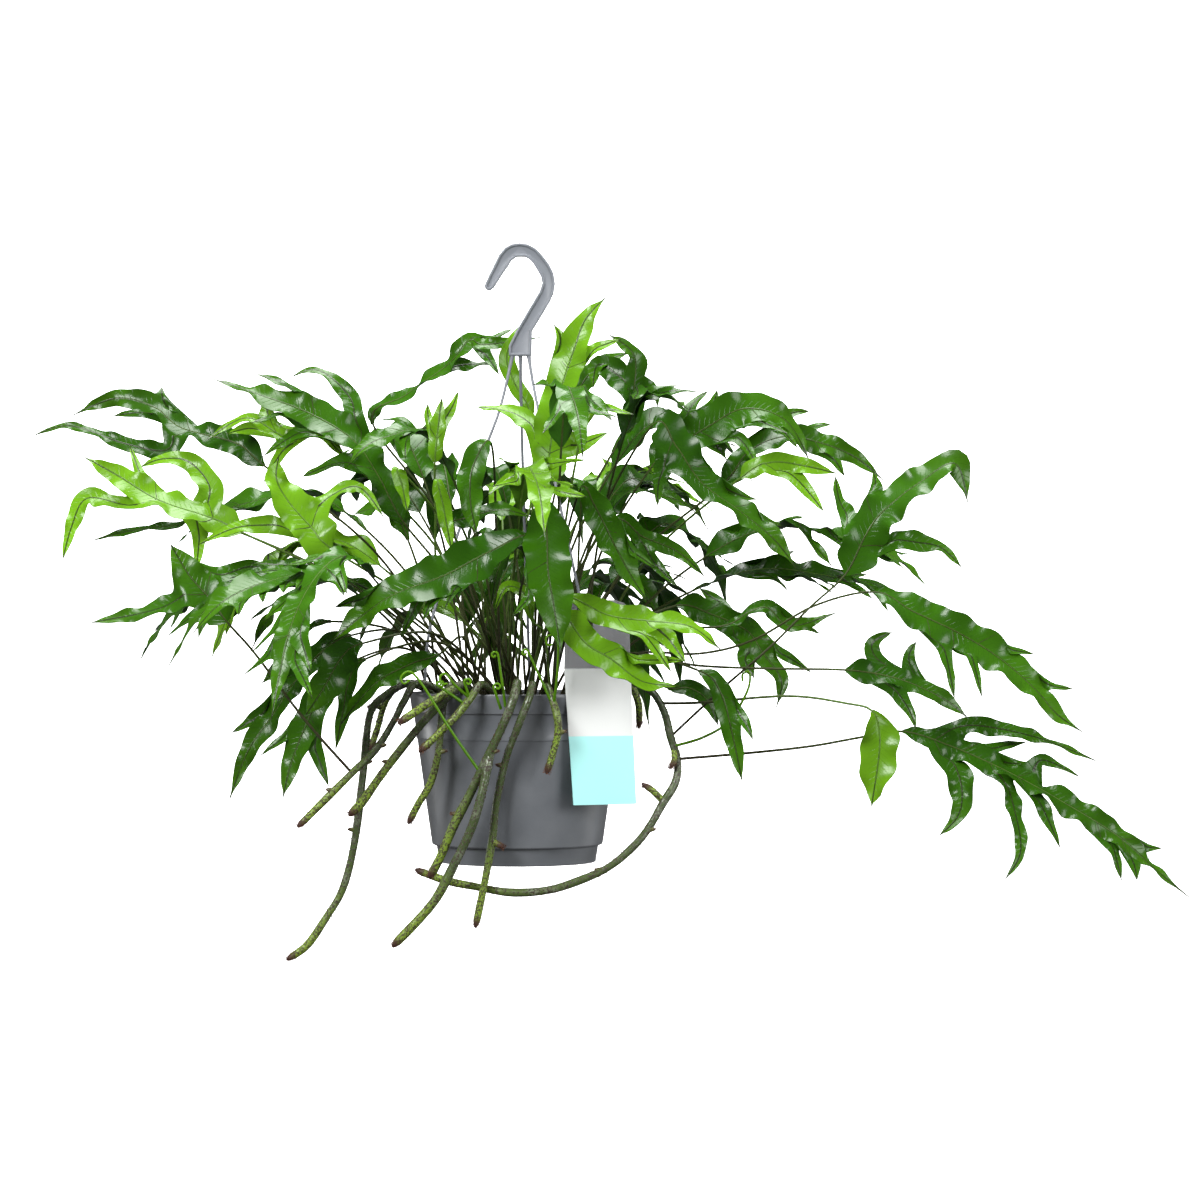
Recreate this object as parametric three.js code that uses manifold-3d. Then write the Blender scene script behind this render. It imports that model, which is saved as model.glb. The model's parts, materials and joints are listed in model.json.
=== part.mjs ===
// Kangaroo fern growing in a hanging pot, in millimetres with +Z up.
// The origin is the inside top of the hook. The pot's axis and rim set the plant's own frame.
import * as THREE from "three";
import { mergeVertices } from "three/addons/utils/BufferGeometryUtils.js";
import Module from "manifold-3d";

// ---------- driving dimensions ----------
const rimRadius = 95;
const potHeight = 149;
const rimBandHeight = 17;
const potWall = 1.6;
const potSides = 32;
const hangHeight = 383; // from the rim up to the inside top of the hook
const hookOffset = 3; // the hook's seat lies this far to the right of the pot's axis
const hookThickness = 6;
const hookWebDepth = 1.7;
const hookBorder = 2.2;
const strandRadius = 1.1;
const strandRootRadius = 2;
const lugRadius = 87.5; // from the pot's axis to each strand's hole in the rim
const lugSize = { width: 15, depth: 9, height: 2.6 };
const lugHole = { width: 6, depth: 4.4 };
const soilLevel = -13;
const holeRadius = 5.4;
const holeDepth = 12;
const holeCount = 60;
const labelThickness = 1;
const rhizomeSides = 5;
const rhizomeStep = 14;
const stemRadius = 1.4;
const footOffset = 2.5; // of each stem from the middle of a hole that several share
const stumpHeight = 16; // of each stem's upright foot in its hole
const crown = { radius: 3.3, height: 6.5 }; // joins the stems that share a hole
const ribHalfThickness = 1;
const segmentLength = 25; // of a blade, which is also the width of a lobe's root
const lobeRows = 3;
const lobeHalfThickness = 0.85;
const stemStep = 62;
const foldUp = 0.16; // how far a blade's halves rise from the rib, per width
const waveLength = 37;
const waveRise = { share: 0.28, most: 3.2 }; // of a blade's margin, per half width
const twist = 0.34; // radians that a blade turns about its rib, to and fro
const twistLength = 150;
const flatWidth = 2; // a stem or tip narrower than this has no wave or twist
const facingPull = 0.4; // how fast a blade turns towards its facing, for each point of its track
const gridCell = 3;
const gridSize = [390, 310, 250];
const gridCorner = [-560, -460, -260];

// ---------- finishes ----------
function plainMaterial(color, roughness) {
  return new THREE.MeshStandardMaterial({ color, roughness, metalness: 0 });
}
const potPlastic = plainMaterial(0x3f4751, 0.35);
const hookPlastic = plainMaterial(0x8b8f9a, 0.4);
const pottingMix = plainMaterial(0x3a2a20, 0.95);
const labelCard = plainMaterial(0xeef2f1, 0.5);
const rhizomeBark = plainMaterial(0x6f7a2c, 0.7);
const oldLeaf = plainMaterial(0x1f6b1a, 0.3);
const youngLeaf = plainMaterial(0x5fae1c, 0.35);

// ---------- small helpers ----------
const joinTolerance = 0.02; // slivers smaller than this, left along a join, are closed up
const wasm = await Module();
wasm.setup();

let seed = 3;
function draw(low, high) {
  seed = (seed * 48271) % 2147483647;
  return low + (high - low) * (seed / 2147483647);
}

function vec(p) {
  return new THREE.Vector3(p[0], p[1], p[2]);
}

function geometryOf(points, faces) {
  const geometry = new THREE.BufferGeometry();
  const positions = points.flatMap((p) => [p.x, p.y, p.z]);
  geometry.setAttribute("position", new THREE.Float32BufferAttribute(positions, 3));
  geometry.setIndex(faces.flat());
  return geometry;
}

function solidOf(geometry) {
  const bare = geometry.clone();
  bare.deleteAttribute("normal");
  bare.deleteAttribute("uv");
  const merged = mergeVertices(bare, 1e-4);
  const vertProperties = merged.attributes.position.array;
  const triVerts = new Uint32Array(merged.index.array);
  return new wasm.Manifold(new wasm.Mesh({ numProp: 3, vertProperties, triVerts }));
}

function geometryFrom(solid) {
  const mesh = solid.simplify(joinTolerance).getMesh();
  const geometry = new THREE.BufferGeometry();
  const count = mesh.vertProperties.length / mesh.numProp;
  const positions = [];
  for (let i = 0; i < count; i += 1) {
    const start = i * mesh.numProp;
    positions.push(...mesh.vertProperties.slice(start, start + 3));
  }
  geometry.setAttribute("position", new THREE.Float32BufferAttribute(positions, 3));
  geometry.setIndex(Array.from(mesh.triVerts));
  geometry.computeVertexNormals();
  return geometry;
}

function joined(geometries) {
  return geometries.map(solidOf).reduce((whole, next) => whole.add(next));
}

// ---------- lines through hand-set points ----------
const stepsPerSpan = 8;

function smoothLine(controls) {
  const line = [];
  const last = controls.length - 1;
  for (let i = 0; i < last; i += 1) {
    const p0 = controls[Math.max(i - 1, 0)];
    const p1 = controls[i];
    const p2 = controls[i + 1];
    const p3 = controls[Math.min(i + 2, last)];
    for (let k = 0; k < stepsPerSpan; k += 1) {
      const t = k / stepsPerSpan;
      line.push(
        [0, 1, 2].map((c) => {
          const a = 2 * p1[c];
          const b = p2[c] - p0[c];
          const d = 2 * p0[c] - 5 * p1[c] + 4 * p2[c] - p3[c];
          const e = 3 * p1[c] - p0[c] - 3 * p2[c] + p3[c];
          return 0.5 * (a + b * t + d * t * t + e * t * t * t);
        }),
      );
    }
  }
  line.push(controls[last].slice());
  return line;
}

// A line with its running length, so that places on it are asked for by distance.
function measured(line) {
  const run = [0];
  for (let i = 1; i < line.length; i += 1) {
    const step = Math.hypot(...[0, 1, 2].map((c) => line[i][c] - line[i - 1][c]));
    run.push(run[i - 1] + step);
  }
  return { line, run, length: run[run.length - 1] };
}

function placeOn(track, distance) {
  const { line, run } = track;
  let i = 1;
  while (i < run.length - 1 && run[i] < distance) i += 1;
  const share = (distance - run[i - 1]) / (run[i] - run[i - 1]);
  return [0, 1, 2].map((c) => line[i - 1][c] + (line[i][c] - line[i - 1][c]) * share);
}

function directionOn(track, distance) {
  const before = vec(placeOn(track, Math.max(distance - 4, 0)));
  const after = vec(placeOn(track, Math.min(distance + 4, track.length)));
  return after.sub(before).normalize();
}

// A closed tube along a track, with one radius for each ring and domed or flat ends.
function tube(track, radii, sides) {
  const points = [];
  const faces = [];
  const rings = radii.length;
  let side = new THREE.Vector3(0, 1, 0);
  for (let i = 0; i < rings; i += 1) {
    const distance = (track.length * i) / (rings - 1);
    const along = directionOn(track, distance);
    side = side.clone().addScaledVector(along, -side.dot(along)).normalize();
    const other = along.clone().cross(side);
    const middle = vec(placeOn(track, distance));
    for (let k = 0; k < sides; k += 1) {
      const angle = (2 * Math.PI * k) / sides;
      points.push(
        middle
          .clone()
          .addScaledVector(side, radii[i] * Math.cos(angle))
          .addScaledVector(other, radii[i] * Math.sin(angle)),
      );
    }
  }
  for (let i = 0; i < rings - 1; i += 1) {
    for (let k = 0; k < sides; k += 1) {
      const a = i * sides + k;
      const b = i * sides + ((k + 1) % sides);
      faces.push([a, b, b + sides], [a, b + sides, a + sides]);
    }
  }
  const first = points.length;
  points.push(vec(placeOn(track, 0)), vec(placeOn(track, track.length)));
  const end = (rings - 1) * sides;
  for (let k = 0; k < sides; k += 1) {
    const next = (k + 1) % sides;
    faces.push([first, next, k], [first + 1, end + k, end + next]);
  }
  return geometryOf(points, faces);
}

// ---------- room taken by each node ----------
const room = new Uint8Array(gridSize[0] * gridSize[1] * gridSize[2]);

function cellOf(p) {
  return [0, 1, 2].map((c) => Math.floor((p[c] - gridCorner[c]) / gridCell));
}

function cellIndex(x, y, z) {
  return (z * gridSize[1] + y) * gridSize[0] + x;
}

function takeRoom(points, owner) {
  for (const p of points) {
    const [x, y, z] = cellOf(p);
    for (let dz = -1; dz <= 1; dz += 1) {
      for (let dy = -1; dy <= 1; dy += 1) {
        for (let dx = -1; dx <= 1; dx += 1) {
          room[cellIndex(x + dx, y + dy, z + dz)] = owner;
        }
      }
    }
  }
}

function clashes(points, owner) {
  let count = 0;
  for (const p of points) {
    const found = room[cellIndex(...cellOf(p))];
    if (found !== 0 && found !== owner) count += 1;
  }
  return count;
}

// ---------- pot ----------
function potOutline() {
  const outer = [
    [0, -potHeight + 2.5],
    [64, -potHeight + 2.5],
    [66, -potHeight],
    [68.6, -potHeight],
    [71, -134.5],
    [75, -133],
    [88.3, -40],
    [89.3, -36],
    [rimRadius - 3.8, -rimBandHeight],
    [rimRadius - 2.6, -rimBandHeight],
    [rimRadius, -1],
    [rimRadius - 0.6, 0],
  ];
  const inner = [
    [rimRadius - 2, 0],
    [rimRadius - 5.6, -rimBandHeight],
    [88.3 - potWall, -40],
    [75 - potWall, -133 + potWall],
    [71 - potWall, -134.5 + potWall],
    [69 - potWall, -potHeight + 2.5 + potWall],
    [0, -potHeight + 2.5 + potWall],
  ];
  return [...outer, ...inner].map(([r, z]) => new THREE.Vector2(r, z));
}

const strandAngles = { left: -66, right: 54, back: 174 }; // degrees from the front, to the right

function aroundPot(degrees, radius) {
  const angle = THREE.MathUtils.degToRad(degrees);
  return [radius * Math.sin(angle), -radius * Math.cos(angle)];
}

// A box whose depth points away from the pot's axis.
function radialBox(width, depth, height, degrees, radius, z) {
  const box = new THREE.BoxGeometry(width, depth, height);
  const [x, y] = aroundPot(degrees, radius);
  box.rotateZ(THREE.MathUtils.degToRad(degrees));
  box.translate(x, y, z);
  return box;
}

function potGeometry() {
  const lathe = new THREE.LatheGeometry(potOutline(), potSides);
  lathe.rotateX(Math.PI / 2);
  let pot = solidOf(lathe);
  for (const degrees of Object.values(strandAngles)) {
    const lug = radialBox(lugSize.width, lugSize.depth, lugSize.height, degrees, 88.6, -3);
    const hole = radialBox(lugHole.width, lugHole.depth, 8, degrees, lugRadius, -3);
    pot = pot.add(solidOf(lug)).subtract(solidOf(hole));
  }
  return geometryFrom(pot);
}

// ---------- soil ----------
// The holes lie on a sunflower's spiral; a stem or rhizome takes the free one nearest its place.
const goldenAngle = Math.PI * (3 - Math.sqrt(5));
const freeHoles = [];
const usedHoles = [];
for (let k = 0; k < holeCount; k += 1) {
  const radius = 80 * Math.sqrt((k + 0.5) / holeCount);
  const angle = k * goldenAngle;
  freeHoles.push([radius * Math.cos(angle), radius * Math.sin(angle)]);
}

function takeHole(x, y) {
  let best = 0;
  for (let k = 1; k < freeHoles.length; k += 1) {
    const now = Math.hypot(freeHoles[k][0] - x, freeHoles[k][1] - y);
    const least = Math.hypot(freeHoles[best][0] - x, freeHoles[best][1] - y);
    if (now < least) best = k;
  }
  const [hole] = freeHoles.splice(best, 1);
  usedHoles.push(hole);
  return hole;
}

function soilGeometry() {
  const outline = [
    [0, -potHeight + 4.6],
    [66.8, -potHeight + 4.6],
    [68.7, -132.5],
    [72.8, -131],
    [86.2, -40],
    [87.6, soilLevel - 2],
    [62, soilLevel],
    [0, soilLevel + 2],
  ];
  const lathe = new THREE.LatheGeometry(
    outline.map(([r, z]) => new THREE.Vector2(r, z)),
    24,
  );
  lathe.rotateX(Math.PI / 2);
  let soil = solidOf(lathe);
  for (const [x, y] of usedHoles) {
    const hole = new THREE.CylinderGeometry(holeRadius, holeRadius, 2 * holeDepth, 5);
    hole.rotateX(Math.PI / 2);
    hole.translate(x, y, soilLevel + 2);
    soil = soil.subtract(solidOf(hole));
  }
  return geometryFrom(soil);
}

// ---------- hook and strands ----------
// The hook's outline from its tip over the seat and down the shank, relative to the seat.
const hookOuter = [
  [-32.1, -25.6], [-28.1, -16.5], [-23, -6.2], [-19.3, 1.4], [-14.2, 7.6], [-8.4, 10.9],
  [-1.1, 12], [6.2, 10.9], [13.5, 6.9], [19.3, 0.7], [25.2, -7.3], [28.8, -14.6],
  [30.1, -23.4], [28.8, -32.1], [25.5, -39.4], [15.7, -55.9], [9.8, -65.3], [9.4, -87.3],
];
const hookInner = [
  [-10.6, -87.3], [-10.6, -78.5], [-4, -65.3], [6.2, -47.8], [16.4, -30.7], [18.8, -23.4],
  [17.5, -16.8], [13.5, -10.2], [10.6, -5.4], [7.7, -2.2], [3.6, 0], [-4, 0], [-8.4, -3.3],
  [-11.4, -8.4], [-15, -13.2], [-23.7, -27], [-27.7, -29.9], [-31.2, -28.4],
];

function inset(outline, distance) {
  const count = outline.length;
  return outline.map((p, i) => {
    const before = outline[(i + count - 1) % count];
    const after = outline[(i + 1) % count];
    const d1 = new THREE.Vector2(p[0] - before[0], p[1] - before[1]).normalize();
    const d2 = new THREE.Vector2(after[0] - p[0], after[1] - p[1]).normalize();
    const across = new THREE.Vector2(d1.y + d2.y, -d1.x - d2.x).normalize();
    const reach = distance / Math.max(across.dot(new THREE.Vector2(d1.y, -d1.x)), 0.6);
    return [p[0] + across.x * reach, p[1] + across.y * reach];
  });
}

// A flat outline in X and Z, made thick along Y about the given middle.
function plate(outline, thickness, middle) {
  const shape = new THREE.Shape(outline.map(([x, z]) => new THREE.Vector2(x, z)));
  const geometry = new THREE.ExtrudeGeometry(shape, { depth: thickness, bevelEnabled: false });
  geometry.rotateX(Math.PI / 2);
  geometry.translate(0, middle + thickness / 2, 0);
  return geometry;
}

function hookSolid() {
  const outline = [...hookOuter, ...hookInner];
  let hook = solidOf(plate(outline, hookThickness, 0));
  const pocketLine = inset(outline.slice(0, -2), hookBorder);
  const pocketMiddle = (hookThickness - hookWebDepth) / 2 + 0.5;
  for (const side of [-1, 1]) {
    const pocket = plate(pocketLine, hookWebDepth + 1, side * pocketMiddle);
    hook = hook.subtract(solidOf(pocket));
  }
  return hook;
}

// Each strand leaves the hook's foot and runs down to its hole in the rim, in the pot's frame.
const strandRoute = {
  left: [[-4, 298], [-15, 250], [-28, 213], [-55, 128], [-76, 55]],
  right: [[9.5, 298], [14, 270], [21, 237], [39, 158], [60, 60]],
  back: [[2.5, 298], [3, 250], [4, 200], [6, 120], [8, 50]],
};

function strandTrack(name) {
  const [lugX, lugY] = aroundPot(strandAngles[name], lugRadius);
  const top = 298;
  const route = strandRoute[name].map(([x, z]) => [x, (lugY * (top - z)) / top, z]);
  route.push([lugX, lugY, 4], [lugX, lugY, -7]);
  return measured(smoothLine(route));
}

function strandGeometries(name) {
  const rings = 12;
  const radii = [];
  for (let i = 0; i < rings; i += 1) {
    radii.push(i === 0 ? strandRootRadius : strandRadius);
  }
  const strand = tube(strandTrack(name), radii, 6);
  const head = radialBox(9, 2.6, 2.4, strandAngles[name], lugRadius, -6.8);
  return [strand, head];
}

function hangerGeometry() {
  let hanger = hookSolid().translate([hookOffset, 0, hangHeight]);
  for (const name of Object.keys(strandAngles)) {
    hanger = hanger.add(joined(strandGeometries(name)));
  }
  return geometryFrom(hanger);
}

// ---------- plant label ----------
const label = {
  left: 42,
  right: 104,
  crease: 22,
  bottom: -95,
  headTop: 81,
  headCorner: 12,
  yaw: 20,
  lean: 44,
  front: -87,
  holeLow: 53,
  holeHigh: 73,
  holeLeft: 53,
  holeRight: 67,
};

function labelDepth(x) {
  return label.front + (x - label.left) * Math.tan(THREE.MathUtils.degToRad(label.yaw));
}

function labelPlace(x, z) {
  const rise = Math.max(z - label.crease, 0);
  return labelDepth(x) + rise * Math.tan(THREE.MathUtils.degToRad(label.lean));
}

// One flat part of the label, bent into place from its outline in X and height.
function labelSheet(shape) {
  const options = { depth: labelThickness, bevelEnabled: false, curveSegments: 4 };
  const geometry = new THREE.ExtrudeGeometry(shape, options);
  const place = geometry.attributes.position;
  for (let i = 0; i < place.count; i += 1) {
    const [x, z] = [place.getX(i), place.getY(i)];
    place.setXYZ(i, x, labelPlace(x, z) - place.getZ(i), z);
  }
  return geometry;
}

function labelGeometry() {
  const { left, right, crease, bottom, headTop, headCorner } = label;
  const card = new THREE.Shape();
  card.moveTo(left + 8, bottom);
  card.lineTo(right, bottom + 2);
  card.lineTo(right - 5, crease);
  card.lineTo(left, crease);
  const head = new THREE.Shape();
  head.moveTo(left, crease);
  head.lineTo(right - 5, crease);
  head.lineTo(right - 6, headTop - headCorner);
  head.quadraticCurveTo(right - 6, headTop, right - 6 - headCorner, headTop);
  head.lineTo(left + 1, headTop);
  const hole = new THREE.Path();
  hole.moveTo(label.holeLeft, label.holeLow);
  hole.lineTo(label.holeRight, label.holeLow);
  hole.lineTo(label.holeRight, label.holeHigh);
  hole.lineTo(label.holeLeft, label.holeHigh);
  head.holes.push(hole);
  return geometryFrom(joined([labelSheet(card), labelSheet(head)]));
}

// ---------- rhizomes ----------
// Points run from the soil over the rim and down, as x, depth and height in the pot's frame.
const rhizomes = {
  rhizome_left_long: {
    radius: 3.4,
    paths: [[[-66, -14, 2], [-92, -20, 8], [-114, -26, -2], [-128, -30, -19], [-134, -34, -72],
      [-141, -38, -130], [-151, -40, -170], [-166, -42, -196], [-182, -44, -219],
      [-199, -46, -231]]],
    buds: [[0.42, 1], [0.6, -1]],
  },
  rhizome_left_upper: {
    radius: 3.2,
    paths: [[[-56, -42, 4], [-84, -42, 9], [-98, -48, -8], [-105, -52, -22], [-121, -60, -48],
      [-142, -70, -69],
      [-166, -74, -93], [-187, -78, -114]]],
    buds: [[0.55, 1], [0.8, -1]],
  },
  rhizome_left_front: {
    radius: 3.7,
    paths: [
      [[-36, -62, 4], [-46, -82, 8], [-56, -90, 0], [-73, -92, -17], [-94, -88, -42], [-115, -84, -69],
        [-132, -80, -93], [-143, -78, -104]],
      [[-46, -82, 8], [-72, -103, -6], [-99, -108, -24]],
    ],
    buds: [[0.7, -1]],
  },
  rhizome_left_short: {
    radius: 3.3,
    paths: [[[-20, -66, 4], [-28, -91, 9], [-38, -104, -3], [-50, -107, -18], [-66, -108, -34],
      [-81, -110, -48]]],
    buds: [],
  },
  rhizome_left_behind: {
    radius: 3.2,
    paths: [[[-40, -50, 4], [-54, -74, 9], [-61, -83, -4], [-64, -86, -28], [-66, -84, -50],
      [-73, -80, -76], [-84, -78, -95], [-92, -76, -111]]],
    buds: [[0.6, 1]],
  },
  rhizome_front_long: {
    radius: 3.9,
    paths: [
      [[0, -70, 4], [2, -93, 10], [0, -107, 1], [-8, -111, -21], [-25, -107, -57], [-40, -104, -88],
        [-52, -102, -111], [-63, -100, -137], [-73, -98, -156]],
      [[-20, -107, -46], [-29, -113, -88], [-38, -112, -116], [-50, -110, -141],
        [-65, -109, -170], [-79, -108, -188], [-104, -107, -214]],
    ],
    buds: [[0.5, 1], [0.75, -1]],
  },
  rhizome_front_right: {
    radius: 3.3,
    paths: [
      [[12, -72, 4], [15, -93, 9], [12, -104, -3], [3, -105, -26], [-8, -97, -56], [-16, -95, -92],
        [-19, -93, -120], [-25, -92, -155], [-34, -91, -199]],
      [[-18, -94, -126], [-9, -95, -131]],
    ],
    buds: [[0.45, -1]],
  },
  rhizome_small_arch: {
    radius: 3.2,
    paths: [[[26, -62, 4], [27, -88, 7], [35, -101, -14], [37, -102, -30], [33, -101, -48],
      [27, -100, -67]]],
    buds: [[0.7, 1]],
  },
  rhizome_right_arc: {
    radius: 3.5,
    paths: [
      [[50, -36, 4], [82, -40, 11], [103, -39, 9], [119, -34, 0], [129, -34, -18], [134, -37, -38],
        [140, -42, -59], [138, -48, -77], [127, -54, -95], [114, -60, -117], [100, -66, -133],
        [80, -72, -149], [55, -78, -160], [28, -82, -168], [-4, -82, -170], [-35, -80, -165],
        [-60, -77, -160], [-86, -74, -151]],
      [[127, -52, -93], [118, -54, -84], [109, -55, -78]],
      [[137, -40, -50], [137, -48, -58], [133, -52, -65]],
    ],
    buds: [[0.5, 1], [0.62, -1], [0.9, 1]],
  },
  rhizome_right_short: {
    radius: 3.1,
    paths: [[[70, 14, 4], [94, 10, 8], [106, 6, -8], [107, 4, -32]]],
    buds: [],
  },
  rhizome_left_brown: {
    radius: 3,
    paths: [
      [[-64, 14, 4], [-95, 12, 8], [-114, 6, -4], [-124, 2, -34], [-130, 0, -52]],
      [[-118, 4, -14], [-125, 3, -12], [-132, 2, -14]],
    ],
    buds: [],
  },
};

function rhizomeTracks(rhizome) {
  return rhizome.paths.map((path, i) => {
    if (i > 0) return measured(smoothLine(path));
    const [x, y] = rhizome.hole;
    return measured(smoothLine([[x, y, soilLevel - 6], [x, y, soilLevel + 4], ...path.slice(1)]));
  });
}

function rhizomeGeometries(rhizome) {
  const parts = [];
  const tracks = rhizomeTracks(rhizome);
  for (const track of tracks) {
    const radius = Math.min(rhizome.radius, 2.4 + track.length / 60);
    const rings = Math.max(Math.round(track.length / rhizomeStep), 2) + 1;
    const radii = [];
    for (let i = 0; i < rings; i += 1) {
      const swell = i === 0 ? 0.85 : 1;
      radii.push(i === rings - 1 ? radius * 0.7 : radius * swell);
    }
    parts.push(tube(track, radii, rhizomeSides));
  }
  for (const [share, side] of rhizome.buds) {
    const middle = vec(placeOn(tracks[0], tracks[0].length * share));
    const bud = new THREE.ConeGeometry(1.9, 7.5, 4);
    bud.rotateZ((-side * Math.PI) / 2);
    bud.translate(middle.x + side * (rhizome.radius + 1.2), middle.y, middle.z);
    parts.push(bud);
  }
  return parts;
}

// ---------- fronds ----------
// Blade outlines: a share of the full width at each share of the length.
function bladeWidth(share, lobed) {
  const rise = Math.min(share / (lobed ? 0.12 : 0.3), 1);
  const opening = Math.sin((rise * Math.PI) / 2) ** 0.8;
  const closing = 1 - Math.max((share - 0.55) / 0.45, 0) ** 1.6;
  return opening * Math.max(closing, 0);
}

function lobeWidth(share) {
  const flare = 1 + 0.5 * Math.max(1 - share / 0.3, 0) ** 2;
  return flare * (1 - Math.max((share - 0.3) / 0.7, 0) ** 1.5);
}

function edgeWave(distance, side, phase) {
  return Math.sin((2 * Math.PI * distance) / waveLength + phase + (side > 0 ? 2 : 0));
}

// A track with the way across at each of its points, worked out from its tip down. A blade
// turns towards its facing without a jump, and a stem below it turns as little as it can.
function framed(track, facing, bladeStart) {
  const across = [];
  const side = directionOn(track, track.length).cross(facing).normalize();
  for (let i = track.line.length - 1; i >= 0; i -= 1) {
    const along = directionOn(track, track.run[i]);
    const wanted = along.clone().cross(facing);
    side.addScaledVector(along, -side.dot(along)).normalize();
    if (track.run[i] >= bladeStart && wanted.dot(side) > 0) {
      side.addScaledVector(wanted, facingPull).normalize();
    }
    across.unshift(side.toArray());
  }
  return { ...track, across };
}

// Section of a blade or stem: its middle, the way across it and the way out of its upper face.
function sectionAt(track, distance) {
  const along = directionOn(track, distance);
  const across = vec(placeOn({ line: track.across, run: track.run }, distance));
  across.addScaledVector(along, -across.dot(along)).normalize();
  return { middle: vec(placeOn(track, distance)), across, out: across.clone().cross(along) };
}

// A blade's section also turns slowly to and fro about its rib.
function bladeSection(track, distance, half, phase) {
  const { middle, across, out } = sectionAt(track, distance);
  if (half <= flatWidth) return { middle, across, out };
  const turn = twist * Math.sin((2 * Math.PI * distance) / twistLength + 1.9 * phase);
  return {
    middle,
    across: across.clone().multiplyScalar(Math.cos(turn)).addScaledVector(out, Math.sin(turn)),
    out: out.clone().multiplyScalar(Math.cos(turn)).addScaledVector(across, -Math.sin(turn)),
  };
}

function ringAt(track, distance, frond, half, thick, phase) {
  const { middle, across, out } = bladeSection(track, distance, half, phase);
  const rise = frond.wave * Math.min(half * waveRise.share, waveRise.most);
  const ring = [];
  for (const side of [-1, 0, 1, 2]) {
    const point = middle.clone();
    if (side === 0) point.addScaledVector(out, thick);
    else if (side === 2) point.addScaledVector(out, -thick);
    else {
      const lift = half * foldUp + rise * edgeWave(distance, side, phase);
      point.addScaledVector(across, side * half);
      point.addScaledVector(out, half > flatWidth ? lift : 0);
    }
    ring.push(point);
  }
  return ring;
}

// A frond's tracks: one along its stem and blade, and one for each lobe from the rib.
function frondTracks(frond) {
  const whole = measured(smoothLine([...frond.stem, ...frond.blade]));
  const bladeStart = whole.run[frond.stem.length * stepsPerSpan];
  const track = framed(whole, frond.facing, bladeStart);
  const bladeLength = track.length - bladeStart;
  const segments = Math.max(Math.round(bladeLength / segmentLength), 3);
  const taken = new Set();
  const lobes = [];
  for (const lobe of frond.lobes) {
    let nearest = bladeStart;
    let least = Infinity;
    for (let i = 0; i < track.line.length; i += 1) {
      const gap = Math.hypot(...[0, 1, 2].map((c) => track.line[i][c] - lobe.path[0][c]));
      if (track.run[i] >= bladeStart && gap < least) {
        least = gap;
        nearest = track.run[i];
      }
    }
    const { across } = sectionAt(track, nearest);
    const reach = vec(lobe.path[1]).sub(vec(placeOn(track, nearest)));
    const side = reach.dot(across) > 0 ? 1 : -1;
    let segment = Math.floor(((nearest - bladeStart) / bladeLength) * segments);
    segment = Math.min(Math.max(segment, 1), segments - 2);
    if (segments < 3 || taken.has(side * 100 + segment)) continue;
    taken.add(side * 100 + segment);
    const start = bladeStart + (bladeLength * (segment + 0.5)) / segments;
    const path = measured(smoothLine([placeOn(track, start), ...lobe.path.slice(1)]));
    lobes.push({ segment, side, width: lobe.width, track: framed(path, frond.facing, 0) });
  }
  return { track, bladeStart, bladeLength, segments, lobes };
}

function halfWidth(frond, share) {
  return Math.max((frond.width / 2) * bladeWidth(share, frond.lobes.length > 0), stemRadius);
}

// All the rings of a frond: up its stem, along its blade, and out along each lobe.
function frondRings(frond) {
  const { track, bladeStart, bladeLength, segments, lobes } = frondTracks(frond);
  const rings = [];
  const stemRings = Math.max(Math.round(bladeStart / stemStep), 2) + 1;
  for (let i = 0; i < stemRings; i += 1) {
    const spread = stumpHeight + ((bladeStart - stumpHeight) * (i - 1)) / (stemRings - 1);
    const distance = i === 0 ? 0 : spread;
    rings.push(ringAt(track, distance, frond, stemRadius, stemRadius, 0));
  }
  for (let i = 0; i < segments; i += 1) {
    const distance = bladeStart + (bladeLength * i) / segments;
    const thick = ribHalfThickness + (i === 0 ? 0.3 : 0);
    const half = halfWidth(frond, i / segments);
    rings.push(ringAt(track, distance, frond, half, thick, frond.phase));
  }
  const tip = vec(placeOn(track, track.length));
  const grown = lobes.map((lobe) => lobeRings(frond, lobe, rings, stemRings + lobe.segment));
  return { rings, tip, lobes: grown };
}

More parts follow.
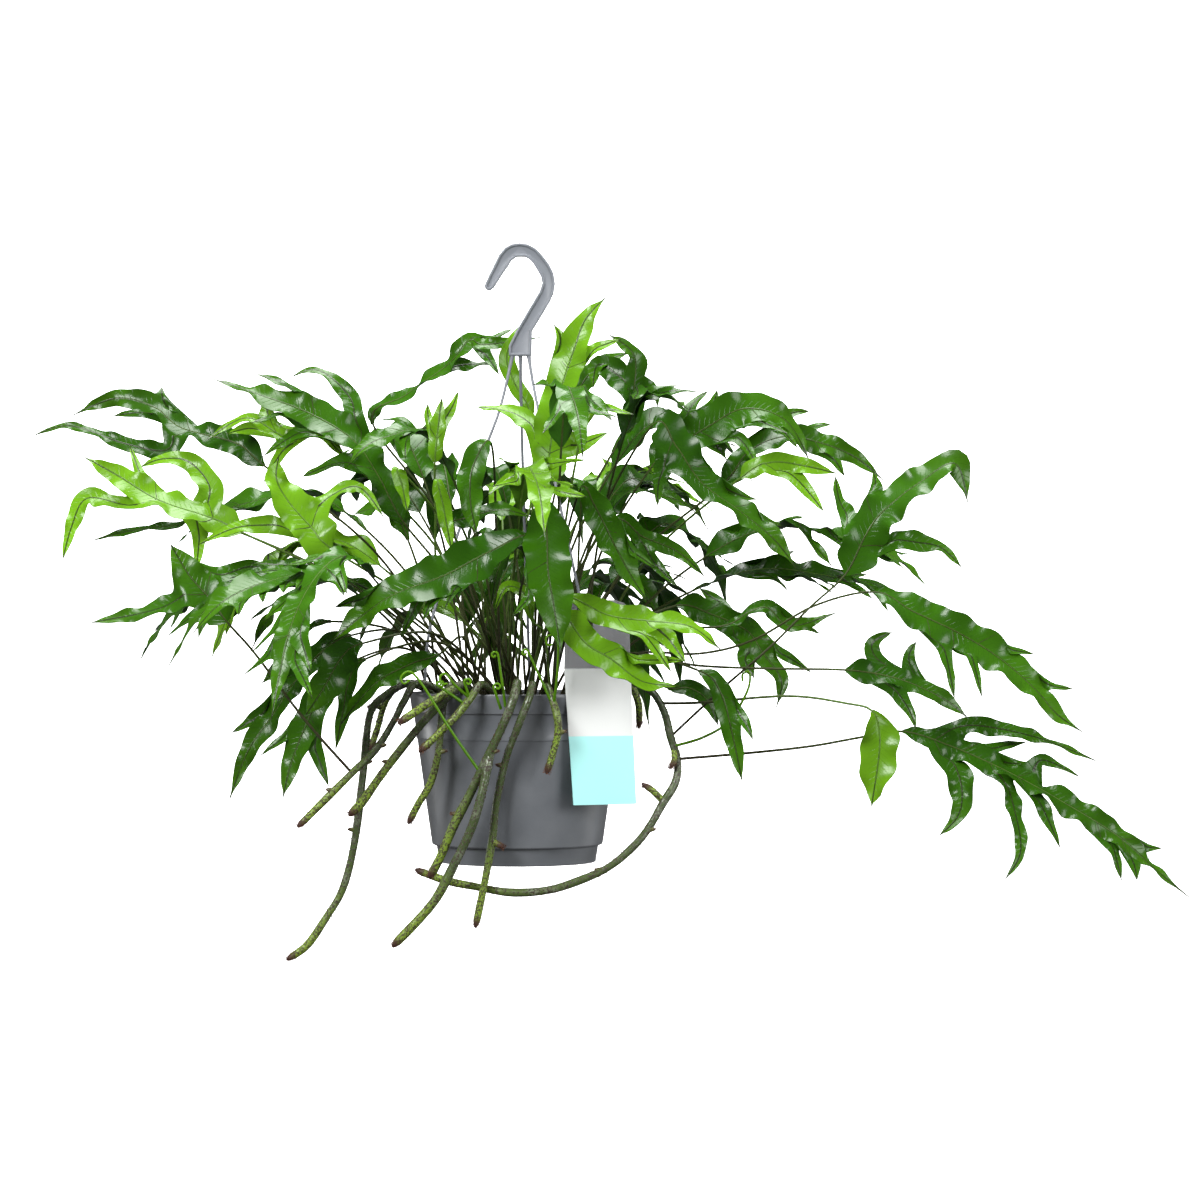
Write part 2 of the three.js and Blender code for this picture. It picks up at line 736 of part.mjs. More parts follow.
// A lobe's first ring is the stretch of blade edge that it grows from, between two rings. Its
// thickness points half out of the blade and half out of the lobe.
function lobeRings(frond, lobe, rings, at) {
  const [a, b] = [rings[at], rings[at + 1]];
  const edge = lobe.side < 0 ? 0 : 2;
  const edgeMiddle = a[edge].clone().lerp(b[edge], 0.5);
  const ribMiddle = a[1].clone().lerp(b[3], 0.5);
  const { length } = lobe.track;
  const half = edgeMiddle.distanceTo(ribMiddle);
  const sideways = edgeMiddle.clone().sub(ribMiddle).divideScalar(half);
  const steep = THREE.MathUtils.clamp(directionOn(lobe.track, 0.3 * length).dot(sideways), 0.35, 1);
  const clear = (half + (lobe.width / 2) * Math.sqrt(1 - steep * steep)) / steep;
  const nearest = Math.min(Math.max(clear, 0.35 * length), 0.62 * length);
  const grown = [];
  for (let row = 1; row < lobeRows; row += 1) {
    const distance = nearest + ((length - nearest) * (row - 1)) / (lobeRows - 1);
    const width = (lobe.width / 2) * lobeWidth(distance / length);
    const phase = frond.phase + lobe.segment;
    grown.push(ringAt(lobe.track, distance, frond, width, lobeHalfThickness, phase));
  }
  const root = edgeMiddle.lerp(ribMiddle, 0.3);
  const [left, right] = lobe.side < 0 ? [a[0], b[0]] : [b[2], a[2]];
  const next = grown[0];
  const across = right.clone().sub(left).add(next[2]).sub(next[0]);
  const along = next[1].clone().lerp(next[3], 0.5).sub(root);
  const out = a[1].clone().sub(a[3]).normalize().add(across.cross(along).normalize());
  out.setLength(lobeHalfThickness);
  grown.unshift([left, root.clone().add(out), right, root.clone().sub(out)]);
  const tip = vec(placeOn(lobe.track, lobe.track.length));
  return { at, side: lobe.side, rings: grown, tip };
}

// The four quads between two rings, split alike above and below. Some sides may be left open.
function skin(faces, from, to, open) {
  for (let k = 0; k < 4; k += 1) {
    const next = (k + 1) % 4;
    if (open.includes(k)) continue;
    if (k < 2) {
      faces.push([from[k], from[next], to[next]], [from[k], to[next], to[k]]);
    } else {
      faces.push([from[k], from[next], to[k]], [from[next], to[next], to[k]]);
    }
  }
}

function frondGeometry(frond) {
  const { rings, tip, lobes } = frondRings(frond);
  const points = rings.flat();
  const faces = [[0, 3, 2], [0, 2, 1]];
  const ringOf = (i) => [0, 1, 2, 3].map((k) => 4 * i + k);
  for (let i = 0; i < rings.length - 1; i += 1) {
    const here = lobes.filter((lobe) => lobe.at === i);
    skin(faces, ringOf(i), ringOf(i + 1), here.flatMap(({ side }) => (side < 0 ? [0, 3] : [1, 2])));
  }
  closeTip(points, faces, ringOf(rings.length - 1), tip);
  for (const lobe of lobes) {
    const [a, b] = [ringOf(lobe.at), ringOf(lobe.at + 1)];
    const top = points.length;
    const bottom = top + 1;
    points.push(lobe.rings[0][1], lobe.rings[0][3]);
    let ring;
    if (lobe.side < 0) {
      faces.push([a[0], a[1], top], [a[1], b[1], top], [b[1], b[0], top]);
      faces.push([a[3], a[0], bottom], [b[0], b[3], bottom], [b[3], a[3], bottom]);
      ring = [a[0], top, b[0], bottom];
    } else {
      faces.push([a[1], a[2], top], [b[2], b[1], top], [b[1], a[1], top]);
      faces.push([a[2], a[3], bottom], [a[3], b[3], bottom], [b[3], b[2], bottom]);
      ring = [b[2], top, a[2], bottom];
    }
    for (const next of lobe.rings.slice(1)) {
      const start = points.length;
      points.push(...next);
      const nextRing = [start, start + 1, start + 2, start + 3];
      skin(faces, ring, nextRing, []);
      ring = nextRing;
    }
    closeTip(points, faces, ring, lobe.tip);
  }
  return geometryOf(points, faces);
}

function closeTip(points, faces, ring, tip) {
  points.push(tip);
  const end = points.length - 1;
  for (let k = 0; k < 4; k += 1) faces.push([ring[k], ring[(k + 1) % 4], end]);
}

// Points spread over a frond, less than a cell apart, to compare with the room already taken.
function sheetSamples(rings, tip) {
  const rows = rings.map(([left, top, right, bottom]) => [
    left,
    top.clone().lerp(bottom, 0.5),
    right,
  ]);
  rows.push([tip, tip, tip]);
  const samples = [];
  for (let i = 0; i < rows.length - 1; i += 1) {
    const [a, b] = [rows[i], rows[i + 1]];
    const along = Math.ceil(a[1].distanceTo(b[1]) / gridCell);
    for (const side of [0, 2]) {
      const width = Math.max(a[side].distanceTo(a[1]), b[side].distanceTo(b[1]));
      const across = Math.ceil(width / gridCell);
      for (let m = 0; m < along; m += 1) {
        const rib = a[1].clone().lerp(b[1], m / along);
        const edge = a[side].clone().lerp(b[side], m / along);
        for (let k = side === 0 ? 0 : 1; k <= across; k += 1) {
          const point = rib.clone().lerp(edge, k / across);
          samples.push([point.x, point.y, point.z]);
        }
      }
    }
  }
  return samples;
}

// Apart for the stem, which may meet others of its own node, and for the blade with its lobes.
function frondSamples(frond) {
  const { rings, tip, lobes } = frondRings(frond);
  const bladeRings = frondTracks(frond).segments;
  const stem = sheetSamples(rings.slice(frond.rooted ? 1 : 0, -bladeRings), rings.at(-bladeRings)[1]);
  const blade = sheetSamples(rings.slice(-bladeRings), tip);
  for (const lobe of lobes) blade.push(...sheetSamples(lobe.rings, lobe.tip));
  return { stem, blade };
}

// Each group is one node, its fronds fused where they share a root. A blade's points are x and
// height in the pot's frame; depth gives its start's and its tip's distance behind the axis.
// A lobe starts with its width, then its points from the rib outwards.
const frondGroups = {
  fronds_left_ribbons: [
    { depth: [25, 55], width: 20, wave: 1.3,
      blade: [[-225, 200], [-250, 220], [-300, 234], [-325, 253], [-360, 261], [-400, 246]],
      lobes: [[13, [-292, 232], [-312, 214], [-350, 220], [-400, 236], [-436, 225]]] },
    { depth: [5, 20], width: 9,
      blade: [[-270, 150], [-300, 147], [-342, 142], [-376, 134]], lobes: [] },
  ],
  frond_left_bright: [
    { depth: [-35, -20], width: 25, young: true,
      blade: [[-240, 140], [-265, 152], [-313, 168], [-350, 190], [-381, 207]],
      lobes: [
        [18, [-270, 155], [-270, 180], [-290, 203], [-315, 205], [-336, 196]],
        [11, [-262, 150], [-277, 130], [-278, 104]],
        [17, [-318, 170], [-340, 164], [-376, 170], [-388, 145], [-394, 112]],
      ] },
  ],
  frond_left_pale: [
    { depth: [-80, -70], width: 30, young: true,
      blade: [[-158, 125], [-175, 143], [-195, 165], [-206, 185], [-204, 204]],
      lobes: [
        [14, [-176, 146], [-205, 146], [-240, 143], [-272, 128]],
        [13, [-168, 138], [-158, 172], [-135, 178], [-112, 150]],
      ] },
  ],
  frond_left_broad: [
    { depth: [-20, 0], width: 28,
      blade: [[-100, 150], [-122, 190], [-145, 222], [-185, 246], [-232, 263], [-269, 276]],
      lobes: [
        [14, [-150, 226], [-146, 256], [-176, 284], [-204, 277]],
        [12, [-196, 250], [-200, 268], [-232, 281]],
        [16, [-125, 195], [-160, 200], [-190, 188]],
        [14, [-160, 235], [-195, 225], [-222, 206]],
      ] },
  ],
  fronds_left_top: [
    { depth: [45, 50], width: 14, wave: 1.4,
      blade: [[-130, 238], [-100, 264], [-62, 292], [-44, 313], [-30, 309], [22, 316]],
      lobes: [[11, [-78, 282], [-50, 291], [-16, 292]]] },
    { depth: [15, 20], width: 11, young: true,
      blade: [[-150, 205], [-178, 231], [-205, 225], [-240, 242], [-277, 222]], lobes: [] },
  ],
  frond_star: [
    { depth: [-62, -58], width: 11, young: true, stem: [[-64, 90], [-70, 160]],
      blade: [[-70, 200], [-68, 222], [-66, 240], [-64, 256]],
      lobes: [
        [9, [-68, 220], [-76, 238], [-77, 252]],
        [9, [-68, 222], [-56, 248], [-50, 264]],
        [9, [-70, 210], [-54, 222], [-41, 228]],
      ] },
    { depth: [-112, -118], width: 11, young: true,
      blade: [[-96, 190], [-95, 176], [-91, 156]], lobes: [] },
  ],
  frond_centre_tall: [
    { depth: [-84, -72], width: 27, young: true, stem: [[20, 60], [27, 130]],
      blade: [[29, 180], [29, 205], [33, 232], [38, 258], [50, 295], [60, 322], [79, 343]],
      lobes: [
        [20, [31, 222], [0, 241], [-36, 248]],
        [20, [29, 198], [8, 214], [-30, 225], [-62, 224]],
        [14, [30, 200], [52, 214], [81, 226]],
      ] },
  ],
  fronds_behind_hook: [
    { depth: [38, 36], width: 13, young: true,
      blade: [[12, 240], [-4, 275], [-10, 300], [6, 330]], lobes: [] },
    { depth: [52, 56], width: 15,
      blade: [[48, 236], [50, 262], [70, 290], [100, 303]], lobes: [] },
    { depth: [40, 30], width: 17,
      blade: [[96, 235], [103, 272], [102, 300], [80, 317]],
      lobes: [[10, [102, 262], [120, 270], [124, 252]], [20, [100, 262], [72, 292], [66, 268]]] },
  ],
  fronds_centre_hanging: [
    { depth: [-92, -104], width: 19,
      blade: [[-20, 214], [-35, 196], [-38, 168], [-32, 136]], lobes: [] },
    { depth: [-110, -120], width: 11, young: true,
      blade: [[-64, 182], [-60, 158], [-53, 122]], lobes: [] },
    { depth: [-100, -116], width: 9,
      blade: [[-60, 112], [-76, 92], [-97, 48]], lobes: [] },
    { depth: [-78, -86], width: 15,
      blade: [[-60, 140], [-38, 152], [-12, 158], [14, 152]], lobes: [] },
  ],
  frond_front_strap: [
    { depth: [-140, -152], width: 33,
      blade: [[24, 165], [28, 135], [29, 105], [33, 80], [40, 36]], lobes: [] },
  ],
  frond_front_left_strap: [
    { depth: [-112, -124], width: 32,
      blade: [[14, 134], [-20, 122], [-58, 102], [-100, 86], [-130, 66], [-156, 44]],
      lobes: [] },
  ],
  fronds_front_right: [
    { depth: [-118, -116], width: 20, young: true,
      blade: [[40, 84], [80, 68], [115, 63], [150, 58], [176, 38]], lobes: [] },
    { depth: [-136, -122], width: 22, young: true,
      blade: [[40, 70], [60, 45], [82, 31], [108, 12], [140, 8]],
      lobes: [[12, [94, 24], [120, 30], [146, 30]]] },
  ],
  fronds_small_front: [
    { depth: [-92, -96], width: 9, young: true,
      blade: [[15, 62], [8, 86], [-8, 92], [-18, 72]], lobes: [] },
    { depth: [-58, -52], width: 9, young: true,
      blade: [[55, 215], [60, 236], [74, 244], [101, 239]], lobes: [] },
  ],
  fronds_right_hanging: [
    { depth: [-104, -116], width: 22,
      blade: [[56, 176], [68, 162], [85, 128], [100, 100], [113, 80]], lobes: [] },
    { depth: [-86, -98], width: 12,
      blade: [[84, 150], [110, 136], [140, 123], [164, 101]],
      lobes: [[10, [104, 140], [118, 116], [141, 91]]] },
  ],
  frond_right_glossy: [
    { depth: [-60, -84], width: 28,
      blade: [[118, 232], [138, 214], [160, 182], [192, 158], [222, 133], [241, 108]],
      lobes: [[13, [140, 206], [124, 186], [122, 160]]] },
  ],
  frond_right_arch: [
    { depth: [5, 15], width: 28,
      blade: [[118, 198], [140, 216], [168, 234], [200, 250], [236, 240], [258, 204]],
      lobes: [[13, [150, 222], [152, 250], [170, 268]], [14, [172, 235], [196, 222], [212, 196]]] },
  ],
  fronds_right_bright: [
    { depth: [-36, -46], width: 14, young: true,
      blade: [[196, 188], [222, 201], [250, 198], [279, 191]],
      lobes: [[13, [210, 195], [246, 184], [268, 156]]] },
  ],
  frond_right_dark: [
    { depth: [30, 45], width: 19, wave: 1.3,
      blade: [[180, 182], [204, 212], [235, 226], [272, 220], [302, 207], [326, 187]],
      lobes: [[12, [220, 222], [240, 246], [262, 250]]] },
  ],
  fronds_right_wavy: [
    { depth: [-12, 0], width: 12, wave: 1.5,
      blade: [[180, 58], [203, 70], [220, 74], [240, 58], [281, 70]], lobes: [] },
    { depth: [-86, -92], width: 13,
      blade: [[132, 4], [150, 4], [166, -6], [176, -29]], lobes: [] },
  ],
  frond_right_long_strap: [
    { depth: [12, -18], width: 27, stem: [[105, 34], [160, 34], [207, 46], [260, 76]],
      blade: [[312, 88], [345, 71], [385, 52], [420, 30], [450, 3], [468, -18], [491, -34]],
      lobes: [[8, [378, 55], [395, 30], [402, -5]]] },
  ],
  frond_right_low_lobed: [
    { depth: [-66, -60], width: 17, stem: [[105, 30], [160, 24], [215, 22]],
      blade: [[283, 21], [322, 15], [350, 5], [374, -8], [389, -21]],
      lobes: [
        [14, [294, 20], [306, 42], [326, 54]],
        [12, [330, 14], [338, 32], [346, 46]],
        [9, [350, 6], [374, 27], [394, 30]],
        [12, [318, 12], [336, -12], [342, -30]],
      ] },
  ],
  fronds_right_drooping: [
    { depth: [-34, -52], width: 19,
      blade: [[140, 76], [172, 68], [202, 54], [216, 34], [232, 10], [227, -14]],
      lobes: [[12, [178, 66], [176, 78], [160, 92]], [14, [205, 50], [200, 30], [208, 12]]] },
    { depth: [-60, -66], width: 15,
      blade: [[158, 20], [176, 2], [186, -32], [195, -76]],
      lobes: [[9, [180, -10], [196, -22], [204, -40]]] },
  ],
  frond_left_low: [
    { depth: [-6, -20], width: 18, wave: 1.2, foot: [-60, 26],
      blade: [[-146, 50], [-172, 35], [-196, 8], [-214, -20], [-236, -52], [-252, -95]],
      lobes: [[12, [-190, 14], [-206, 20], [-224, 8]]] },
    { depth: [-34, -44], width: 21,
      blade: [[-150, 24], [-168, 4], [-184, -30], [-196, -62], [-203, -92]], lobes: [] },
    { depth: [14, 8], width: 10, wave: 1.4,
      blade: [[-165, 62], [-188, 52], [-206, 34], [-225, 8]], lobes: [] },
  ],
  fronds_left_front_low: [
    { depth: [-98, -106], width: 25, foot: [-44, -58],
      blade: [[-130, 44], [-148, 32], [-163, 6], [-178, -17]], lobes: [] },
    { depth: [-62, -60], width: 11,
      blade: [[-130, 30], [-144, 12], [-150, -18], [-156, -49]], lobes: [] },
  ],
  frond_front_low: [
    { depth: [-100, -112], width: 18,
      blade: [[-66, 34], [-90, 26], [-122, 8], [-150, -26]], lobes: [] },
  ],
};

// Fronds and curled shoots that grow from a rhizome; their stem's points start on it.
const rhizomeFronds = {
  rhizome_right_arc: [
    { depth: [-52, -56], width: 30, stemDepth: -37,
      stem: [[134, -38], [180, 5], [220, 40], [255, 75]],
      blade: [[285, 103], [302, 136], [318, 158], [350, 183], [380, 199], [391, 164]],
      lobes: [
        [15, [304, 140], [282, 164], [278, 191]],
        [14, [293, 116], [272, 136], [262, 161]],
        [17, [306, 142], [345, 131], [367, 126], [386, 107]],
        [16, [291, 112], [335, 104], [380, 92], [419, 66]],
      ] },
    { depth: [-46, -70], width: 20, stemDepth: -43, wave: 1.4,
      stem: [[141, -57], [200, -52], [255, -46], [300, -38]],
      blade: [[335, -33], [375, -45], [420, -65], [470, -92], [520, -123], [552, -152],
        [580, -175]],
      lobes: [
        [13, [366, -42], [392, -28], [450, -38], [506, -60]],
        [13, [412, -62], [429, -100], [432, -135], [415, -160]],
        [20, [372, -46], [384, -78], [380, -104], [361, -122]],
        [9, [440, -76], [456, -58], [490, -73]],
      ] },
    { depth: [-84, -90], width: 27, stemDepth: -32, young: true,
      stem: [[124, -9], [160, -8], [235, -2], [285, -8]],
      blade: [[306, -14], [312, -34], [311, -58], [305, -96]], lobes: [] },
  ],
  rhizome_left_upper: [
    { depth: [-66, -58], width: 26, stemDepth: -70,
      stem: [[-141, -68], [-170, -36], [-193, -8], [-225, 35]],
      blade: [[-249, 62], [-262, 80], [-282, 102], [-299, 130]],
      lobes: [
        [18, [-258, 76], [-306, 74], [-368, 61]],
        [14, [-254, 68], [-250, 104], [-228, 110], [-199, 100]],
        [15, [-276, 96], [-318, 99], [-358, 91]],
      ] },
  ],
};

const shootRadius = 1.2;
const curledShoots = {
  rhizome_left_short: [[[-38, -104, -3], [-50, -114, 8], [-58, -118, 18], [-63, -118, 16],
    [-62, -118, 10], [-57, -118, 10]]],
  rhizome_small_arch: [[[33, -99, -8], [36, -108, 16], [37, -112, 42], [33, -112, 51],
    [27, -112, 49], [28, -112, 43], [32, -112, 43]]],
  rhizome_right_arc: [[[137, -40, -46], [162, -50, -38], [184, -54, -24], [200, -56, 2],
    [202, -56, 18], [196, -56, 17], [196, -56, 11]]],
  rhizome_front_long: [[[-30, -107, -65], [-54, -114, -30], [-76, -118, 6], [-88, -120, 20],
    [-96, -120, 16], [-94, -120, 10], [-89, -120, 13]]],
};

const frontFacing = { aside: 0.3, front: -0.82, up: [0.3, 0.85] };
const lobeLean = 0.55; // how far a lobe's points go back for each millimetre that they rise
const depthTries = [0, 10, -10, 20, -20, 30, -30, 42, -42, 55, -55, 70, -70];
const fillerNodes = 24;
const fillerTries = 160;
const frontReach = 300;
const sideReach = 350;
// The fronds drawn for one hole: each kind's turn from the hole's angle, its reach as a share of
// the plant's, its height, how far its end hangs, its width and its number of lobes.
const drawnKinds = [
  { turn: -0.45, reach: [0.3, 0.75], height: [150, 260], hang: [10, 90], width: [20, 30], lobes: 4 },
  { turn: 0.45, reach: [0.45, 1], height: [95, 200], hang: [40, 150], width: [20, 30], lobes: 4 },
  { turn: 1.7, reach: [0.2, 0.5], height: [70, 215], hang: [30, 100], width: [15, 22], lobes: 0 },
  { turn: -1.4, reach: [0.14, 0.4], height: [60, 190], hang: [10, 90], width: [14, 20], lobes: 0 },
];

function plantDepths(points, from, to) {
  const last = Math.max(points.length - 1, 1);
  return points.map(([x, z], i) => [x, from + ((to - from) * i) / last, z]);
}

// Where each of the stems that share a hole stands in it.
function footOf([x, y], index, count) {
  if (count === 1) return [x, y];
  const angle = Math.atan2(y, x) + (2 * Math.PI * index) / count;
  return [x + footOffset * Math.cos(angle), y + footOffset * Math.sin(angle)];
}

// The foot of a stem: upright in its hole, then leaning the way that it goes.
function rootedStem(x, y, awayX, awayY) {
  const length = Math.hypot(awayX, awayY);
  const out = (distance, z) => [
    x + (awayX * distance) / length,
    y + (awayY * distance) / length,
    soilLevel + z,
  ];
  return [[x, y, soilLevel - 9], [x, y, soilLevel + 5], out(6, 24)];
}

// A frond's shape from its hand-set list, moved back by shift and rooted in the given hole.
function placedFrond(spec, hole, facing, shift) {
  const [near, far] = spec.depth.map((d) => d + shift);
  const blade = plantDepths(spec.blade, near, far);
  const start = blade[0];
  let stem;
  if (hole) {
    const [x, y] = hole;
    const [aimX, aimY] = spec.stem ? [spec.stem[0][0], near] : [start[0], near];
    stem = rootedStem(x, y, aimX - x, aimY - y);
    if (spec.stem) {
      const count = spec.stem.length + 1;
      stem.push(...spec.stem.map(([sx, sz], i) => [sx, y + ((near - y) * (i + 1)) / count, sz]));
    } else {
      const height = Math.max(0.62 * start[2], Math.min(start[2] + 15, 52));
      stem.push([x + (start[0] - x) * 0.45, y + (start[1] - y) * 0.45, height]);
    }
  } else {
    const stemEnd = spec.stemDepth + (near - spec.stemDepth) * 0.8;
    stem = plantDepths(spec.stem, spec.stemDepth, stemEnd);
  }
  const lobes = spec.lobes.map(([width, root, ...rest]) => {
    let nearest = blade[0];
    for (const p of blade) {
      const gap = Math.hypot(p[0] - root[0], p[2] - root[1]);
      if (gap < Math.hypot(nearest[0] - root[0], nearest[2] - root[1])) nearest = p;
    }
    const depth = nearest[1];
    const path = [root, ...rest].map(([x, z]) => [x, depth + lobeLean * (z - root[1]), z]);
    return { width, path };
  });
  return {
    stem,
    blade,
    lobes,
    width: spec.width,
    young: Boolean(spec.young),
    wave: spec.wave ?? 1,
    facing,
    phase: blade[0][0] * 0.13,
    rooted: Boolean(hole),
  };
}

function rootPlace(spec) {
  if (spec.foot) return spec.foot;
  const [x, height] = spec.blade[0];
  const depth = spec.depth[0];
  const reach = Math.hypot(x, depth);
  const radius = THREE.MathUtils.clamp(76 - (40 * height) / (reach + 20), 12, 70);
  return [(x * radius) / reach, (depth * radius) / reach];
}

// The depth nearest the wanted one at which the frond is clear of all that is there already.
function clearFrond(spec, hole, owner) {
  let best = null;
  let least = Infinity;
  const aside = draw(-frontFacing.aside, frontFacing.aside);
  const facing = vec([aside, frontFacing.front, draw(...frontFacing.up)]).normalize();
  for (const shift of depthTries) {
    const frond = placedFrond(spec, hole, facing, shift);
    const { stem, blade } = frondSamples(frond);
    const count = clashes([...stem, ...blade], owner);
    if (count < least) {
      least = count;
      best = frond;
    }
    if (count === 0) break;
  }
  const { stem, blade } = frondSamples(best);
  takeRoom([...stem, ...blade], owner);
  return best;
}

// A frond drawn by rule: it leaves its hole, arches out at an angle and hangs at its end.
function drawnFrond(hole, angle, kind) {
  const [x, y] = hole;
  const turn = angle + kind.turn + draw(-0.3, 0.3);
  const bend = draw(-0.25, 0.25);
  const outline = 1 / Math.hypot(Math.cos(turn) / sideReach, Math.sin(turn) / frontReach);
  const reach = outline * draw(...kind.reach);
  const height = draw(...kind.height);
  const hang = draw(...kind.hang);
  const out = (share, z) => {
    const way = turn + bend * share;
    return [x + reach * share * Math.cos(way), y + reach * share * Math.sin(way), z];
  };
  const foot = rootedStem(x, y, Math.cos(turn), Math.sin(turn));
  const stem = [...foot, out(0.16, 0.5 * height)];
  const blade = [
    out(0.34, 0.82 * height),
    out(0.52, height),
    out(0.7, height - 0.12 * hang),
    out(0.86, height - 0.45 * hang),
    out(0.97, height - hang),
  ];
  const facing = new THREE.Vector3(0.35 * Math.cos(turn), 0.35 * Math.sin(turn) - 0.25, 0.8);
  facing.normalize();
  const width = draw(...kind.width);
  const lobes = [];
  const lobed = draw(0, 1) < 0.72;
  const track = framed(measured(smoothLine(blade)), facing, 0);
  const firstSide = draw(0, 1) < 0.5 ? -1 : 1;
  for (let k = 0; k < kind.lobes; k += 1) {
    const length = draw(40, 66) * (1 - 0.12 * k);
    const lean = draw(0.5, 0.85);
    const droop = draw(0.1, 0.5);
    if (!lobed) continue;
    const from = track.length * (0.2 + 0.14 * k);
    const side = k % 2 ? -firstSide : firstSide;
    const { middle, across } = sectionAt(track, from);
    const along = directionOn(track, from);
    const way = across.multiplyScalar(side * Math.cos(lean)).addScaledVector(along, Math.sin(lean));
    const path = [0, 0.5, 1].map((share) => {
      const point = middle.clone().addScaledVector(way, length * share);
      return [point.x, point.y, point.z - droop * length * share * share];
    });
    lobes.push({ width: draw(11, 16), path });
  }
  const phase = draw(0, 6);
  const young = draw(0, 1) < 0.2;
  return { stem, blade, lobes, width, wave: 1, young, facing, phase, rooted: true };
}

// ---------- laying the plant out ----------
function takeMadeThings() {
  const points = [];
  for (let z = -potHeight; z <= 0; z += gridCell) {
    const radius = z < -133 ? 70 : z < -38 ? 88.3 + (z + 40) * 0.14 : 92;
    const count = Math.ceil((2 * Math.PI * radius) / gridCell);
    for (let k = 0; k < count; k += 1) {
      const angle = (2 * Math.PI * k) / count;
      points.push([radius * Math.cos(angle), radius * Math.sin(angle), z]);
    }
  }
  for (const name of Object.keys(strandAngles)) {
    const track = strandTrack(name);
    for (let d = 0; d <= track.length; d += gridCell) points.push(placeOn(track, d));
  }
  for (const [x, z] of [...hookOuter, ...hookInner]) {
    for (const depth of [-2, 2]) points.push([hookOffset + x, depth, hangHeight + z]);
  }
  for (let x = label.left; x <= label.right; x += gridCell) {
    for (let z = label.bottom; z <= label.headTop; z += gridCell) {
      points.push([x, labelPlace(x, z), z]);
    }
  }
  takeRoom(points, 1);
}

const plant = [];

function layPlant() {
  takeMadeThings();
  let owner = 1;
  for (const [name, rhizome] of Object.entries(rhizomes)) {
    owner += 1;
    const [x, y] = rhizome.paths[0][0];
    rhizome.hole = takeHole(x, y);
    const tracks = rhizomeTracks(rhizome);
    tracks.push(...(curledShoots[name] ?? []).map((path) => measured(smoothLine(path))));
    for (const track of tracks) {
      const points = [];
      for (let d = 0; d <= track.length; d += gridCell) points.push(placeOn(track, d));
      takeRoom(points, owner);
    }
    plant.push({ name, owner, rhizome, fronds: [] });
  }
  for (const node of plant) {
    const specs = rhizomeFronds[node.name] ?? [];
    node.fronds = specs.map((spec) => clearFrond(spec, null, node.owner));
  }
  for (const [name, specs] of Object.entries(frondGroups)) {
    owner += 1;
    const hole = takeHole(...rootPlace(specs[0]));
    const fronds = specs.map((spec, i) => clearFrond(spec, footOf(hole, i, specs.length), owner));
    plant.push({ name, owner, hole, fronds });
  }
  for (let k = 0; k < fillerNodes; k += 1) {
    owner += 1;
    const angle = k * goldenAngle + 0.6;
    const radius = 30 + 12 * (k % 4);
    const hole = takeHole(radius * Math.cos(angle), radius * Math.sin(angle));
    const fronds = [];
    for (const [place, kind] of drawnKinds.entries()) {
      const foot = footOf(hole, place, drawnKinds.length);
      for (let attempt = 0; attempt < fillerTries; attempt += 1) {
        const frond = drawnFrond(foot, angle, kind);
        const { stem, blade } = frondSamples(frond);
        if (clashes(stem, owner) > 0 || clashes(blade, 0) > 0) continue;
        takeRoom([...stem, ...blade], owner);
        fronds.push(frond);
        break;
      }
    }
    if (fronds.length) plant.push({ name: `fronds_inner_${k + 1}`, owner, hole, fronds });
  }
}

// ---------- the model ----------
function named(name, geometry, material) {
  const mesh = new THREE.Mesh(geometry, material);
  mesh.name = name;
  return mesh;
}

function nodeGeometry(node) {
  const parts = node.fronds.map(frondGeometry);
  if (node.hole && node.fronds.length > 1) {
    const foot = new THREE.CylinderGeometry(crown.radius, crown.radius, crown.height, 5);
    foot.rotateX(Math.PI / 2);
    foot.translate(node.hole[0], node.hole[1], soilLevel - 9.6 + crown.height / 2);
    parts.push(foot);
  }
  if (node.rhizome) parts.push(...rhizomeGeometries(node.rhizome));
  for (const path of curledShoots[node.name] ?? []) {
    const radii = new Array(10).fill(shootRadius);
    parts.push(tube(measured(smoothLine(path)), radii, 4));
  }
  const bodies = joined(parts).decompose();
  bodies.sort((a, b) => b.volume() - a.volume());
  return geometryFrom(bodies[0]); // a hollow sealed between crossing stems is filled
}

layPlant();
const hangingPlant = new THREE.Group();
hangingPlant.position.set(-hookOffset, 0, -hangHeight);
hangingPlant.add(named("pot", potGeometry(), potPlastic));
hangingPlant.add(named("potting_mix", soilGeometry(), pottingMix));
hangingPlant.add(named("hanger", hangerGeometry(), hookPlastic));
hangingPlant.add(named("plant_label", labelGeometry(), labelCard));
for (const node of plant) {
  const leaf = node.fronds.some((frond) => frond.young) ? youngLeaf : oldLeaf;
  const material = node.rhizome ? rhizomeBark : leaf;
  hangingPlant.add(named(node.name, nodeGeometry(node), material));
}

const model = new THREE.Group();
model.add(hangingPlant);

export default model;
